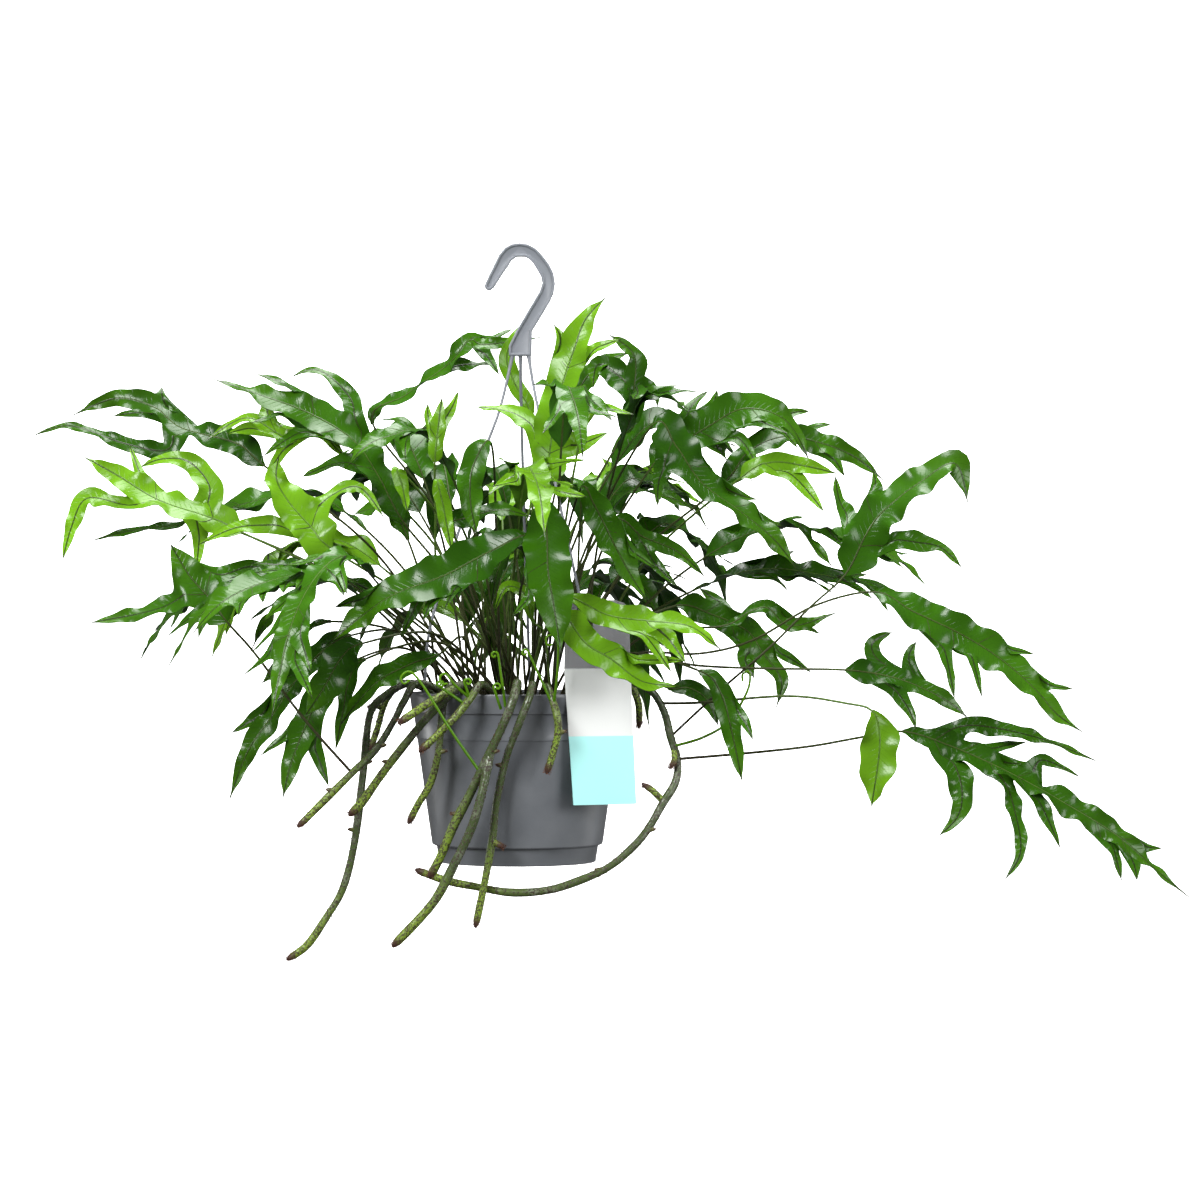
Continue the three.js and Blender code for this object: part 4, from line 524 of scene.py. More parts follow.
def madeThings():
    points = []
    for z in spaced(-layout["potHeight"], 0):
        radius = potRadius(z)
        count = math.ceil(2 * math.pi * radius / layout["cell"])
        turns = [2 * math.pi * k / count for k in range(count)]
        points += [[radius * math.cos(turn), radius * math.sin(turn), z] for turn in turns]
    for name in strandAngles:
        points += trackSamples(strandTrack(name)).tolist()
    for x, z in hookForm["outline"]:
        points += [[layout["hookOffset"] + x, depth, layout["hangHeight"] + z] for depth in (-2, 2)]
    for x in spaced(label["left"], label["right"]):
        points += [[x, labelPlace(x, z), z] for z in spaced(label["bottom"], label["headTop"])]
    return np.array(points, float)


# the room that each node takes, in the cells of a grid
gridX, gridY, gridZ = layout["grid"]
room = np.zeros(gridX * gridY * gridZ, np.uint8)


def trackSamples(track):
    return placesOn(track, np.arange(0, track["length"] + 1e-9, layout["cell"]))


def cellsAt(points, offset):
    cells = np.floor((points - np.array(layout["corner"])) / layout["cell"]).astype(np.int64) + offset
    return (cells[:, 2] * gridY + cells[:, 1]) * gridX + cells[:, 0]


def takeRoom(points, owner):
    for offset in np.ndindex(3, 3, 3):
        index = cellsAt(points, np.array(offset) - 1)
        room[index[(index >= 0) & (index < room.size)]] = owner


def clashes(points, owner):
    index = cellsAt(points, 0)
    inside = (index >= 0) & (index < room.size)
    found = room[index[inside]]
    return int((~inside).sum()) + int(((found != 0) & (found != owner)).sum())


# where each frond stands
goldenAngle = math.pi * (3 - math.sqrt(5))
drawSeed, drawFactor, drawPrime = 3, 48271, 2147483647


def draw(low, high):
    global drawSeed
    drawSeed = drawSeed * drawFactor % drawPrime
    return low + (high - low) * (drawSeed / drawPrime)


def spiralPlace(radius, angle):
    return radius * math.cos(angle), radius * math.sin(angle)


freeHoles = [spiralPlace(layout["holeReach"] * math.sqrt((k + 0.5) / layout["holes"]), k * goldenAngle)
             for k in range(layout["holes"])]


def takeHole(x, y):
    best = min(range(len(freeHoles)), key=lambda k: math.hypot(freeHoles[k][0] - x, freeHoles[k][1] - y))
    return freeHoles.pop(best)


def footOf(hole, index, count):
    if count == 1:
        return hole
    angle = math.atan2(hole[1], hole[0]) + 2 * math.pi * index / count
    away = layout["footOffset"]
    return hole[0] + away * math.cos(angle), hole[1] + away * math.sin(angle)


def rootedStem(x, y, awayX, awayY):
    length = math.hypot(awayX, awayY)
    soil, out = layout["soilLevel"], layout["rootOut"]
    return [[x, y, soil - layout["rootDepth"]], [x, y, soil + layout["rootRise"]],
            [x + awayX * out / length, y + awayY * out / length, soil + layout["rootTop"]]]


def plantDepths(points, near, far):
    last = max(len(points) - 1, 1)
    return [[x, near + (far - near) * i / last, z] for i, (x, z) in enumerate(points)]


def placedFrond(spec, foot, facing, shift):
    near = spec["near"] + shift
    blade = plantDepths(spec["blade"], near, spec["far"] + shift)
    startX, startY, startZ = blade[0]
    if foot is None:
        depth = spec["stemDepth"]
        stem = plantDepths(spec["stem"], depth, depth + (near - depth) * 0.8)
    elif spec["stem"]:
        x, y = foot
        count = len(spec["stem"]) + 1
        stem = rootedStem(x, y, spec["stem"][0][0] - x, near - y)
        stem += [[sx, y + (near - y) * (i + 1) / count, sz] for i, (sx, sz) in enumerate(spec["stem"])]
    else:
        x, y = foot
        height = max(layout["bendRise"] * startZ, min(startZ + layout["bendOver"], layout["bendMost"]))
        stem = rootedStem(x, y, startX - x, near - y)
        share = layout["bendAt"]
        stem.append([x + (startX - x) * share, y + (startY - y) * share, height])
    lobes = []
    for width, line in spec["lobes"]:
        rootX, rootZ = line[0]
        depth = min(blade, key=lambda p: math.hypot(p[0] - rootX, p[2] - rootZ))[1]
        lobes.append((width, [[x, depth + layout["lobeLean"] * (z - rootZ), z] for x, z in line]))
    return {"stem": stem, "blade": blade, "lobes": lobes, "width": spec["width"], "young": spec["young"],
            "wave": spec["wave"], "facing": facing, "phase": startX * 0.13, "rooted": foot is not None}


# a steep frond stands nearer to the pot's middle than a flat one
def rootPlace(spec):
    if spec["foot"]:
        return spec["foot"]
    x, height = spec["blade"][0]
    reach = math.hypot(x, spec["near"])
    low, high = layout["rootRing"]
    pull = layout["rootPull"] * height / (reach + layout["rootNear"])
    radius = min(max(layout["rootReach"] - pull, low), high)
    return x * radius / reach, spec["near"] * radius / reach


# a listed frond moves to or fro to the depth where it meets the others least
def clearFrond(spec, foot, owner):
    best, least = None, math.inf
    aside = draw(-layout["aside"], layout["aside"])
    facing = unit(np.array([aside, layout["front"], draw(*layout["up"])]))
    for shift in layout["depthTries"]:
        frond = placedFrond(spec, foot, facing, shift)
        samples = np.concatenate(frondSamples(frond))
        count = clashes(samples, owner)
        if count < least:
            best, least, kept = frond, count, samples
        if count == 0:
            break
    takeRoom(kept, owner)
    return best


# along the line of a drawn frond: the share of its reach, of its height and of its hang
drawnForm = {
    "swing": 0.3, "bend": 0.25, "stem": (0.16, 0.5),
    "line": [(0.34, 0.82, 0), (0.52, 1, 0), (0.7, 1, 0.12), (0.86, 1, 0.45), (0.97, 1, 1)],
    "facing": (0.35, 0.25, 0.8), "phase": (0, 6), "young": 0.2, "lobed": 0.72, "lobeLength": (40, 66),
    "lobeShrink": 0.12, "lobeLean": (0.5, 0.85), "lobeDroop": (0.1, 0.5), "lobeWidth": (11, 16),
    "lobeStart": 0.2, "lobeStep": 0.14,
}
# how each kind of drawn frond turns, the ranges of its reach, height, hang and width, and its lobes
drawnKinds = [
    (-0.45, (0.3, 0.75), (150, 260), (10, 90), (20, 30), 4),
    (0.45, (0.45, 1), (95, 200), (40, 150), (20, 30), 4),
    (1.7, (0.2, 0.5), (70, 215), (30, 100), (15, 22), 0),
    (-1.4, (0.14, 0.4), (60, 190), (10, 90), (14, 20), 0),
]


def drawnFrond(foot, angle, away, reaches, heights, hangs, widths, lobeCount):
    (x, y), form = foot, drawnForm
    turn = angle + away + draw(-form["swing"], form["swing"])
    bend = draw(-form["bend"], form["bend"])
    outline = 1 / math.hypot(math.cos(turn) / layout["sideReach"], math.sin(turn) / layout["frontReach"])
    reach = outline * draw(*reaches)
    height, hang = draw(*heights), draw(*hangs)

    def out(share, z):
        way = turn + bend * share
        return [x + reach * share * math.cos(way), y + reach * share * math.sin(way), z]

    share, rise = form["stem"]
    stem = rootedStem(x, y, math.cos(turn), math.sin(turn)) + [out(share, rise * height)]
    blade = [out(share, rise * height - fall * hang) for share, rise, fall in form["line"]]
    outward, front, up = form["facing"]
    facing = unit(np.array([outward * math.cos(turn), outward * math.sin(turn) - front, up]))
    width = draw(*widths)
    lobes = []
    lobed = draw(0, 1) < form["lobed"]
    track = framed(trackOf(blade), facing, 0)
    firstSide = -1 if draw(0, 1) < 0.5 else 1
    for k in range(lobeCount):
        length = draw(*form["lobeLength"]) * (1 - form["lobeShrink"] * k)
        lean, droop = draw(*form["lobeLean"]), draw(*form["lobeDroop"])
        if not lobed:
            continue
        begin = track["length"] * (form["lobeStart"] + form["lobeStep"] * k)
        side = -firstSide if k % 2 else firstSide
        middle, across, _ = sectionsAt(track, begin)
        along = directionsOn(track, np.array([begin]))[0]
        way = across[0] * (side * math.cos(lean)) + along * math.sin(lean)
        path = []
        for share in (0, 0.5, 1):
            point = middle[0] + way * length * share
            path.append([point[0], point[1], point[2] - droop * length * share * share])
        lobes.append((draw(*form["lobeWidth"]), path))
    phase = draw(*form["phase"])
    young = draw(0, 1) < form["young"]
    return {"stem": stem, "blade": blade, "lobes": lobes, "width": width, "young": young, "wave": 1,
            "facing": facing, "phase": phase, "rooted": True}


def rhizomeTracks(rhizome):
    (x, y), soil = rhizome["hole"], layout["soilLevel"]
    first, *others = rhizome["paths"]
    return [trackOf(path) for path in ([(x, y, soil - 6), (x, y, soil + 4)] + first[1:], *others)]


# a drawn frond is drawn anew until it stands free
def freeFrond(foot, angle, kind, owner):
    for _ in range(layout["fillerTries"]):
        frond = drawnFrond(foot, angle, *kind)
        stem, leafy = frondSamples(frond)
        if clashes(stem, owner) == 0 and clashes(leafy, 0) == 0:
            takeRoom(np.concatenate([stem, leafy]), owner)
            return [frond]
    return []


def layPlant():
    takeRoom(madeThings(), 1)
    plant, owner = [], len(rhizomes) + 1
    for number, (name, rhizome) in enumerate(rhizomes.items()):
        rhizome["hole"] = takeHole(*rhizome["paths"][0][0][:2])
        shoots = [trackOf(grouped(curledShoots[name], 3))] if name in curledShoots else []
        for track in rhizomeTracks(rhizome) + shoots:
            takeRoom(trackSamples(track), number + 2)
        plant.append({"name": name, "rhizome": rhizome})
    for number, node in enumerate(plant):
        specs = rhizomeFronds.get(node["name"], [])
        node["fronds"] = [clearFrond(spec, None, number + 2) for spec in specs]
    for name, specs in frondGroups.items():
        owner += 1
        hole = takeHole(*rootPlace(specs[0]))
        feet = [footOf(hole, i, len(specs)) for i in range(len(specs))]
        fronds = [clearFrond(spec, foot, owner) for spec, foot in zip(specs, feet)]
        plant.append({"name": name, "fronds": fronds})
    for k in range(layout["fillerNodes"]):
        owner += 1
        angle, fronds = k * goldenAngle + 0.6, []
        hole = takeHole(*spiralPlace(30 + 12 * (k % 4), angle))
        for place, kind in enumerate(drawnKinds):
            fronds += freeFrond(footOf(hole, place, len(drawnKinds)), angle, kind, owner)
        if fronds:
            plant.append({"name": f"fronds_inner_{k + 1}", "fronds": fronds})
    return plant


plant = layPlant()
print("laid out:", len(plant), "plant nodes,", sum(len(node["fronds"]) for node in plant), "fronds")


# shader maths as plain expressions
def put(tree, socket, value):
    if isinstance(value, Wire):
        tree.links.new(value.socket, socket)
    elif socket.type == "RGBA" and len(value) == 3:
        socket.default_value = (*value, 1)
    else:
        socket.default_value = value


def maths(operation, swapped=False):
    def apply(*values):
        tree = values[0].tree
        node = tree.nodes.new("ShaderNodeMath")
        node.operation = operation
        for socket, value in zip(node.inputs, reversed(values) if swapped else values):
            put(tree, socket, value)
        return Wire(tree, node.outputs[0])
    return apply


class Wire:
    def __init__(self, tree, socket):
        self.tree, self.socket = tree, socket

    __add__ = __radd__ = maths("ADD")
    __mul__ = __rmul__ = maths("MULTIPLY")
    __sub__, __rsub__ = maths("SUBTRACT"), maths("SUBTRACT", swapped=True)
    absolute, pingPong = maths("ABSOLUTE"), maths("PINGPONG")


class Finish:
    def __init__(self, name):
        self.material = bpy.data.materials.new(name)
        self.material.use_nodes = True
        self.tree = self.material.node_tree
        self.shader = self.tree.nodes["Principled BSDF"]

    def node(self, kind, settings, values, out=0):
        made = self.tree.nodes.new(kind)
        for key, value in settings.items():
            setattr(made, key, value)
        for key, value in values.items():
            put(self.tree, made.inputs[key], value)
        return Wire(self.tree, made.outputs[out])

    def set(self, **sockets):
        for key, value in sockets.items():
            put(self.tree, self.shader.inputs[key.replace("_", " ")], value)
        return self.material

    def place(self):
        return self.node("ShaderNodeTexCoord", {}, {}, "Object")

    def noise(self, scale, detail=3, rough=0.5):
        values = {"Scale": scale, "Detail": detail, "Roughness": rough, "Vector": self.place()}
        return self.node("ShaderNodeTexNoise", {}, values, "Fac")

    def smooth(self, value, low, high):
        values = {"Value": value, "From Min": low, "From Max": high}
        return self.node("ShaderNodeMapRange", {"interpolation_type": "SMOOTHSTEP"}, values)

    def blend(self, factor, first, second):
        return self.node("ShaderNodeMix", {"data_type": "RGBA"}, {0: factor, 6: first, 7: second}, 2)

    def bump(self, height, strength, distance):
        values = {"Height": height, "Strength": strength, "Distance": distance}
        return self.node("ShaderNodeBump", {}, values)

    def parts(self, vector):
        made = self.node("ShaderNodeSeparateXYZ", {}, {0: vector}).socket.node
        return [Wire(self.tree, out) for out in made.outputs]

    def leafValues(self):
        return self.parts(self.node("ShaderNodeAttribute", {"attribute_name": "leaf"}, {}, "Vector"))

    def plantHeight(self):
        return self.parts(self.place())[2] * 1000 - plantOrigin[2]


leafTones = {
    "deep": (0.003, 0.030, 0.001), "middle": (0.028, 0.112, 0.003), "young": (0.120, 0.285, 0.008),
    "under": (0.028, 0.100, 0.009), "rib": (0.012, 0.016, 0.005), "roughness": 0.20, "specular": 0.22,
    "veinSpacing": 0.26, "veinSlant": 0.75,
}
stemTones = {
    "old": (0.026, 0.020, 0.010), "green": (0.090, 0.190, 0.020), "streak": (0.012, 0.010, 0.006),
    "roughness": 0.42, "specular": 0.15,
}
rhizomeTones = {
    "fresh": (0.190, 0.290, 0.026), "aged": (0.056, 0.082, 0.028), "scale": (0.028, 0.014, 0.008),
    "sheen": (0.24, 0.27, 0.19), "tip": (0.062, 0.026, 0.017), "roughness": 0.40,
}


def leafFinish():
    f = Finish("leaf_green")
    tone, shade, under = f.leafValues()
    across, along, _ = f.parts(f.node("ShaderNodeUVMap", {"uv_map": "blade"}, {}))
    away = across.absolute()
    patches, grain = f.noise(38, 3), f.noise(420, 2)
    # side veins run forward from the rib, and fade before the margin
    slant = along - away * leafTones["veinSlant"] + patches * 0.06
    vein = f.smooth(slant.pingPong(leafTones["veinSpacing"]), 0.045, 0.0)
    vein = vein * f.smooth(away, 1.15, 0.5)
    rib = f.smooth(away, 0.085, 0.045)
    green = f.blend(shade * 0.75 + patches * 0.5 - 0.12, leafTones["deep"], leafTones["middle"])
    green = f.blend(tone, green, leafTones["young"])
    green = f.blend(vein * 0.16, green, leafTones["deep"])
    green = f.blend(under * 0.55, green, leafTones["under"])
    green = f.blend(rib * 0.85, green, leafTones["rib"])
    height = rib * 0.5 - vein * 0.35 + patches * 0.35 + grain * 0.05
    rough = leafTones["roughness"] + grain * 0.08 + under * 0.16 - patches * 0.05
    return f.set(Base_Color=green, Roughness=rough, Normal=f.bump(height, 0.35, 0.0009),
                 Specular_IOR_Level=leafTones["specular"])


def stemFinish():
    f = Finish("stem_brown_green")
    tone, shade, _ = f.leafValues()
    streak = f.noise(260, 3)
    colour = f.blend(tone, stemTones["old"], stemTones["green"])
    colour = f.blend(f.smooth(streak, 0.45, 0.75) * 0.5, colour, stemTones["streak"])
    return f.set(Base_Color=colour, Roughness=stemTones["roughness"] + streak * 0.1 + shade * 0.05,
                 Normal=f.bump(streak, 0.3, 0.0004), Specular_IOR_Level=stemTones["specular"])


def rhizomeFinish():
    f = Finish("rhizome_scaly_green")
    age, tip, _ = f.leafValues()
    speck, clouds = f.noise(560, 3, rough=0.6), f.noise(95, 2)
    marks = f.node("ShaderNodeTexVoronoi", {}, {"Scale": 480.0, "Vector": f.place()}, "Distance")
    dark = f.smooth(speck + clouds * 0.22 - age * 0.05, 0.58, 0.66)
    colour = f.blend(age, rhizomeTones["fresh"], rhizomeTones["aged"])
    colour = f.blend(f.smooth(clouds, 0.5, 0.72) * age * 0.55, colour, rhizomeTones["sheen"])
    colour = f.blend(dark * 0.88, colour, rhizomeTones["scale"])
    colour = f.blend(tip, colour, rhizomeTones["tip"])
    return f.set(Base_Color=colour, Roughness=rhizomeTones["roughness"] + dark * 0.25 - age * 0.14,
                 Normal=f.bump(marks * 0.6 + dark * 0.5, 0.55, 0.0006))


def plainFinish(name, colour, second, scale, rough, bump=0.15, depth=0.0003):
    f = Finish(name)
    soft, fine = f.noise(scale, 3), f.noise(scale * 9, 2)
    mix = f.blend(f.smooth(soft, 0.3, 0.7), colour, second)
    return f.set(Base_Color=mix, Roughness=rough + fine * 0.08 + soft * 0.05,
                 Normal=f.bump(fine + soft * 0.5, bump, depth))


plantMaterials = [leafFinish(), stemFinish()]
rhizomeMaterials = [rhizomeFinish(), plantMaterials[1]]
hairBrown = plainFinish("rhizome_hair_brown", (0.095, 0.032, 0.014), (0.17, 0.07, 0.03), 300, 0.75)
scaleBrown = plainFinish("scale_brown", (0.045, 0.020, 0.010), (0.085, 0.040, 0.016), 300, 0.6)
rhizomeMaterials += [scaleBrown, hairBrown]
print("plant finishes made")


# small helpers for pieces
def metres(x, y, z):
    return tuple((a + b) / 1000 for a, b in zip((x, y, z), plantOrigin))


def mode(name):
    if bpy.context.mode != name:
        bpy.ops.object.mode_set(mode=name)


def chosen(piece):
    mode("OBJECT")
    bpy.ops.object.select_all(action="DESELECT")
    piece.select_set(True)
    bpy.context.view_layer.objects.active = piece
    return piece


def editAll():
    mode("EDIT")
    bpy.ops.mesh.select_all(action="SELECT")


def smoothed(piece, degrees):
    chosen(piece)
    bpy.ops.object.shade_smooth_by_angle(angle=math.radians(degrees))
    return piece


def linked(name, data):
    made = bpy.data.objects.new(name, data)
    bpy.context.scene.collection.objects.link(made)
    return made


def applied(piece):
    chosen(piece)
    for modifier in list(piece.modifiers):
        bpy.ops.object.modifier_apply(modifier=modifier.name)
    bpy.ops.object.transform_apply(location=True, rotation=True, scale=True)
    return piece


def bevelled(piece, width):
    bevel = piece.modifiers.new("edge", "BEVEL")
    bevel.width = width
    bevel.segments = 2
    return bevel


def coated(piece, material):
    piece.data.materials.clear()
    piece.data.materials.append(material)
    return piece


def settled(piece, slot, replaced):
    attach(piece, "root")
    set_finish(piece, slot)
    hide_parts(replaced)
    return piece


def columns(*values):
    return np.stack(np.broadcast_arrays(*values), -1)


# meshes gathered from strips, tubes and small bits, in millimetres
class Gathered:
    def __init__(self):
        self.points, self.faces, self.count = [], {3: [], 4: []}, 0

    # leaf holds three values for the finish, and uvs without a blade lie far from any rib
    def add(self, points, leaf, faces, material, uvs=None):
        leaf = np.broadcast_to(np.asarray(leaf, float), (len(points), 3))
        self.points.append((np.asarray(points, float), leaf))
        for corners, indices in faces.items():
            if len(indices):
                around = np.full((len(indices), corners, 2), 3.0) if uvs is None else uvs
                self.faces[corners].append((indices + self.count, around, material))
        self.count += len(points)

    def addTube(self, path, radii, sides, leaf, material):
        path = np.asarray(path, float)
        radii = np.broadcast_to(np.asarray(radii, float), (len(path),))
        rings, directions = [], unit(np.gradient(path, axis=0))
        side = np.array([0.31, 0.9, 0.3])
        angles = 2 * math.pi * np.arange(sides) / sides
        for middle, along, radius in zip(path, directions, radii):
            side = unit(side - along * (side @ along))
            other = cross(along, side)
            rings.append(middle + radius * (np.cos(angles)[:, None] * side + np.sin(angles)[:, None] * other))
        ends = [path[0] - directions[0] * radii[0] * 0.5, path[-1] + directions[-1] * radii[-1] * 0.7]
        points = np.concatenate(rings + [np.array(ends)])
        n, k = len(path), np.arange(sides)
        after = (k + 1) % sides
        base = (np.arange(n - 1) * sides)[:, None]
        quads = np.stack([base + k, base + after, base + sides + after, base + sides + k], -1).reshape(-1, 4)
        last = (n - 1) * sides
        tris = np.concatenate([columns(n * sides, after, k), columns(n * sides + 1, last + k, last + after)])
        leaf = np.asarray(leaf, float)
        if leaf.ndim == 2:
            leaf = np.concatenate([np.repeat(leaf, sides, axis=0), leaf[:1], leaf[-1:]])
        self.add(points, leaf, {4: quads, 3: tris}, material)

    def piece(self, name, materials, slot, replaced):
        points = np.concatenate([p for p, _ in self.points]) + np.array(plantOrigin)
        leaf = np.concatenate([a for _, a in self.points])
        rows = [(faces, uv, np.full(len(faces), material), np.full(len(faces), corners))
                for corners in (3, 4) for faces, uv, material in self.faces[corners]]
        indices = np.concatenate([row[0].ravel() for row in rows])
        uvs, kinds = np.concatenate([row[1].ravel() for row in rows]), np.concatenate([r[2] for r in rows])
        sizes = np.concatenate([row[3] for row in rows])
        mesh = bpy.data.meshes.new(name)
        mesh.vertices.add(len(points))
        mesh.vertices.foreach_set("co", (points / 1000).ravel())
        mesh.loops.add(len(indices))
        mesh.loops.foreach_set("vertex_index", indices)
        mesh.polygons.add(len(sizes))
        mesh.polygons.foreach_set("loop_start", np.concatenate([[0], np.cumsum(sizes)[:-1]]))
        mesh.polygons.foreach_set("material_index", kinds)
        mesh.uv_layers.new(name="blade").data.foreach_set("uv", uvs)
        color = np.concatenate([leaf, np.ones((len(leaf), 1))], 1)
        mesh.attributes.new("leaf", "FLOAT_COLOR", "POINT").data.foreach_set("color", color.ravel())
        for material in materials:
            mesh.materials.append(material)
        mesh.update()
        mesh.validate()
        return settled(smoothed(linked(name, mesh), layout["smooth"]), slot, replaced)


# fine blades
bladeForm = {
    "steps": 8, "columns": (-1, -0.72, -0.4, -0.1, 0, 0.1, 0.4, 0.72, 1), "thick": 0.55,
    "ripple": 0.30, "rippleLength": 19, "scallop": 0.075, "scallopLength": 27,
    "rootBlend": 15, "lobeStep": 3.2, "moreLobes": (0.38, 0.66), "broader": 1.18,
    "tone": (0.12, 0.5), "lobeTone": (0.14, 0.6), "youngTones": (0.62, 0.9, 0.8), "oldTones": (0, 0.42, 0.25),
    "stem": 1.3, "stemTaper": 0.25, "ribTip": 0.25, "rib": 0.7, "lobeRib": (0.5, 0.16),
}


def bladeLift(distance, half, u, phase, wave):
    # fold from the rib, the long wave of the margin and a short ripple on it
    side = np.sign(u)
    long = np.sin(2 * math.pi * distance / layout["wave"] + phase + np.where(side > 0, 2, 0))
    short = np.sin(2 * math.pi * distance / bladeForm["rippleLength"] + 1.7 * phase + 1.3 * side)
    most = np.minimum(half * layout["waveShare"], layout["waveMost"])
    rise = wave * most * (long + bladeForm["ripple"] * short)
    lift = half * layout["foldUp"] * np.abs(u) ** 1.25 + rise * np.abs(u) ** 1.8
    return lift * np.clip(half - 1, 0, 1)


def bladeGrid(frond, track, distance, half, u, phase):
    spread = np.clip((half - 1.5) / 3, 0, 1)
    middle, across, out = bladeSections(track, distance, spread, phase)
    distance, half = distance[:, None], half[:, None]
    wave = np.sin(2 * math.pi * distance / bladeForm["scallopLength"] + 2.3 * phase + 2 * np.sign(u))
    width = half * (1 + bladeForm["scallop"] * wave)
    lift = bladeLift(distance, half, u[None], phase, frond["wave"])
    grid = middle[:, None] + across[:, None] * (width * u)[..., None] + out[:, None] * lift[..., None]
    return grid, columns(width * u, distance) / 10


def tonesAlong(share, across, root, tip):
    return np.repeat(root + tip * share[:, None] ** 3, across, axis=1)


def mainGrid(frond, tracks):
    rows = tracks["segments"] * bladeForm["steps"] + 1
    share = np.arange(rows) / (rows - 1)
    distance = tracks["start"] + tracks["length"] * share
    half = halfWidth(frond, share) * bladeForm["broader"] * np.minimum(1, 0.12 + (1 - share) * 9)
    u = np.array(bladeForm["columns"])
    grid, uv = bladeGrid(frond, tracks["track"], distance, half, u, frond["phase"])
    return grid, uv, tonesAlong(share, len(u), *bladeForm["tone"])


def lobeGrid(frond, lobe, root):
    steps, track = bladeForm["steps"], lobe["track"]
    samples = np.linspace(0, track["length"] * 0.6, 60)
    begin = samples[np.argmin(((placesOn(track, samples) - root[steps // 2]) ** 2).sum(1))]
    rows = max(math.floor((track["length"] - begin) / bladeForm["lobeStep"] + 0.5), 6)
    part = np.arange(1, rows + 1) / rows
    distance = np.concatenate([[begin], begin + (track["length"] - begin) * part])
    share = distance / track["length"]
    half = lobe["width"] / 2 * lobeWidth(share) * bladeForm["broader"] * np.minimum(1, 0.1 + (1 - share) * 8)
    u = np.linspace(-1, 1, steps + 1)
    grid, uv = bladeGrid(frond, track, distance, half, u, frond["phase"] + lobe["segment"])
    fade = np.maximum(1 - (distance - begin) / bladeForm["rootBlend"], 0) ** 2
    grid += (root - grid[0])[None] * fade[:, None, None]
    return grid, uv, tonesAlong(share, steps + 1, *bladeForm["lobeTone"])


# small lobes stand where a blade has none yet, most of them on the drawn fronds
def moreLobes(frond, tracks, rng, drawn):
    track, segments = tracks["track"], tracks["segments"]
    taken = {(lobe["side"], lobe["segment"]) for lobe in tracks["lobes"]}
    for segment in range(2, segments - 2):
        for side in (-1, 1):
            chance, length = rng.uniform(0, 1), rng.uniform(28, 54) * (1 - 0.35 * segment / segments)
            lean, droop, width = rng.uniform(0.55, 0.95), rng.uniform(-0.1, 0.3), rng.uniform(8, 12)
            if (side, segment) in taken or chance > bladeForm["moreLobes"][drawn]:
                continue
            begin = tracks["start"] + tracks["length"] * (segment + 0.5) / segments
            middle, across, _ = sectionsAt(track, begin)
            along = directionsOn(track, np.array([begin]))
            way = (across * side * math.cos(lean) + along * math.sin(lean))[0]
            length += halfWidth(frond, (segment + 0.5) / segments)
            fall = np.array([0, 0, droop])
            path = [middle[0] + (way * t - fall * t * t) * length for t in (0, 0.5, 1)]
            tracks["lobes"].append({"segment": segment, "side": side, "width": width,
                                    "track": framed(trackOf(path), frond["facing"], 0)})


def gridQuads(indices):
    corners = [indices[:-1, :-1], indices[:-1, 1:], indices[1:, 1:], indices[1:, :-1]]
    return np.stack(corners, -1).reshape(-1, 4)


# both faces of a sheet, and the margin between them
def thickened(points, quads, quadUvs):
    corner = points[quads]
    normal = cross(corner[:, 2] - corner[:, 0], corner[:, 3] - corner[:, 1])
    normals = np.zeros_like(points)
    for k in range(4):
        np.add.at(normals, quads[:, k], normal)
    normals = unit(normals) * bladeForm["thick"] / 2
    total = len(points)
    starts, ends = quads.ravel(), np.roll(quads, -1, axis=1).ravel()
    margin = ~np.isin(starts * total + ends, ends * total + starts)
    a, b = starts[margin], ends[margin]
    uvA = quadUvs.reshape(-1, 2)[margin]
    uvB = np.roll(quadUvs, -1, axis=1).reshape(-1, 2)[margin]
    faces = np.concatenate([quads, quads[:, ::-1] + total, np.stack([b, a, a + total, b + total], -1)])
    faceUvs = np.concatenate([quadUvs, quadUvs[:, ::-1], np.stack([uvB, uvA, uvA, uvB], 1)])
    return np.concatenate([points + normals, points - normals]), faces, faceUvs


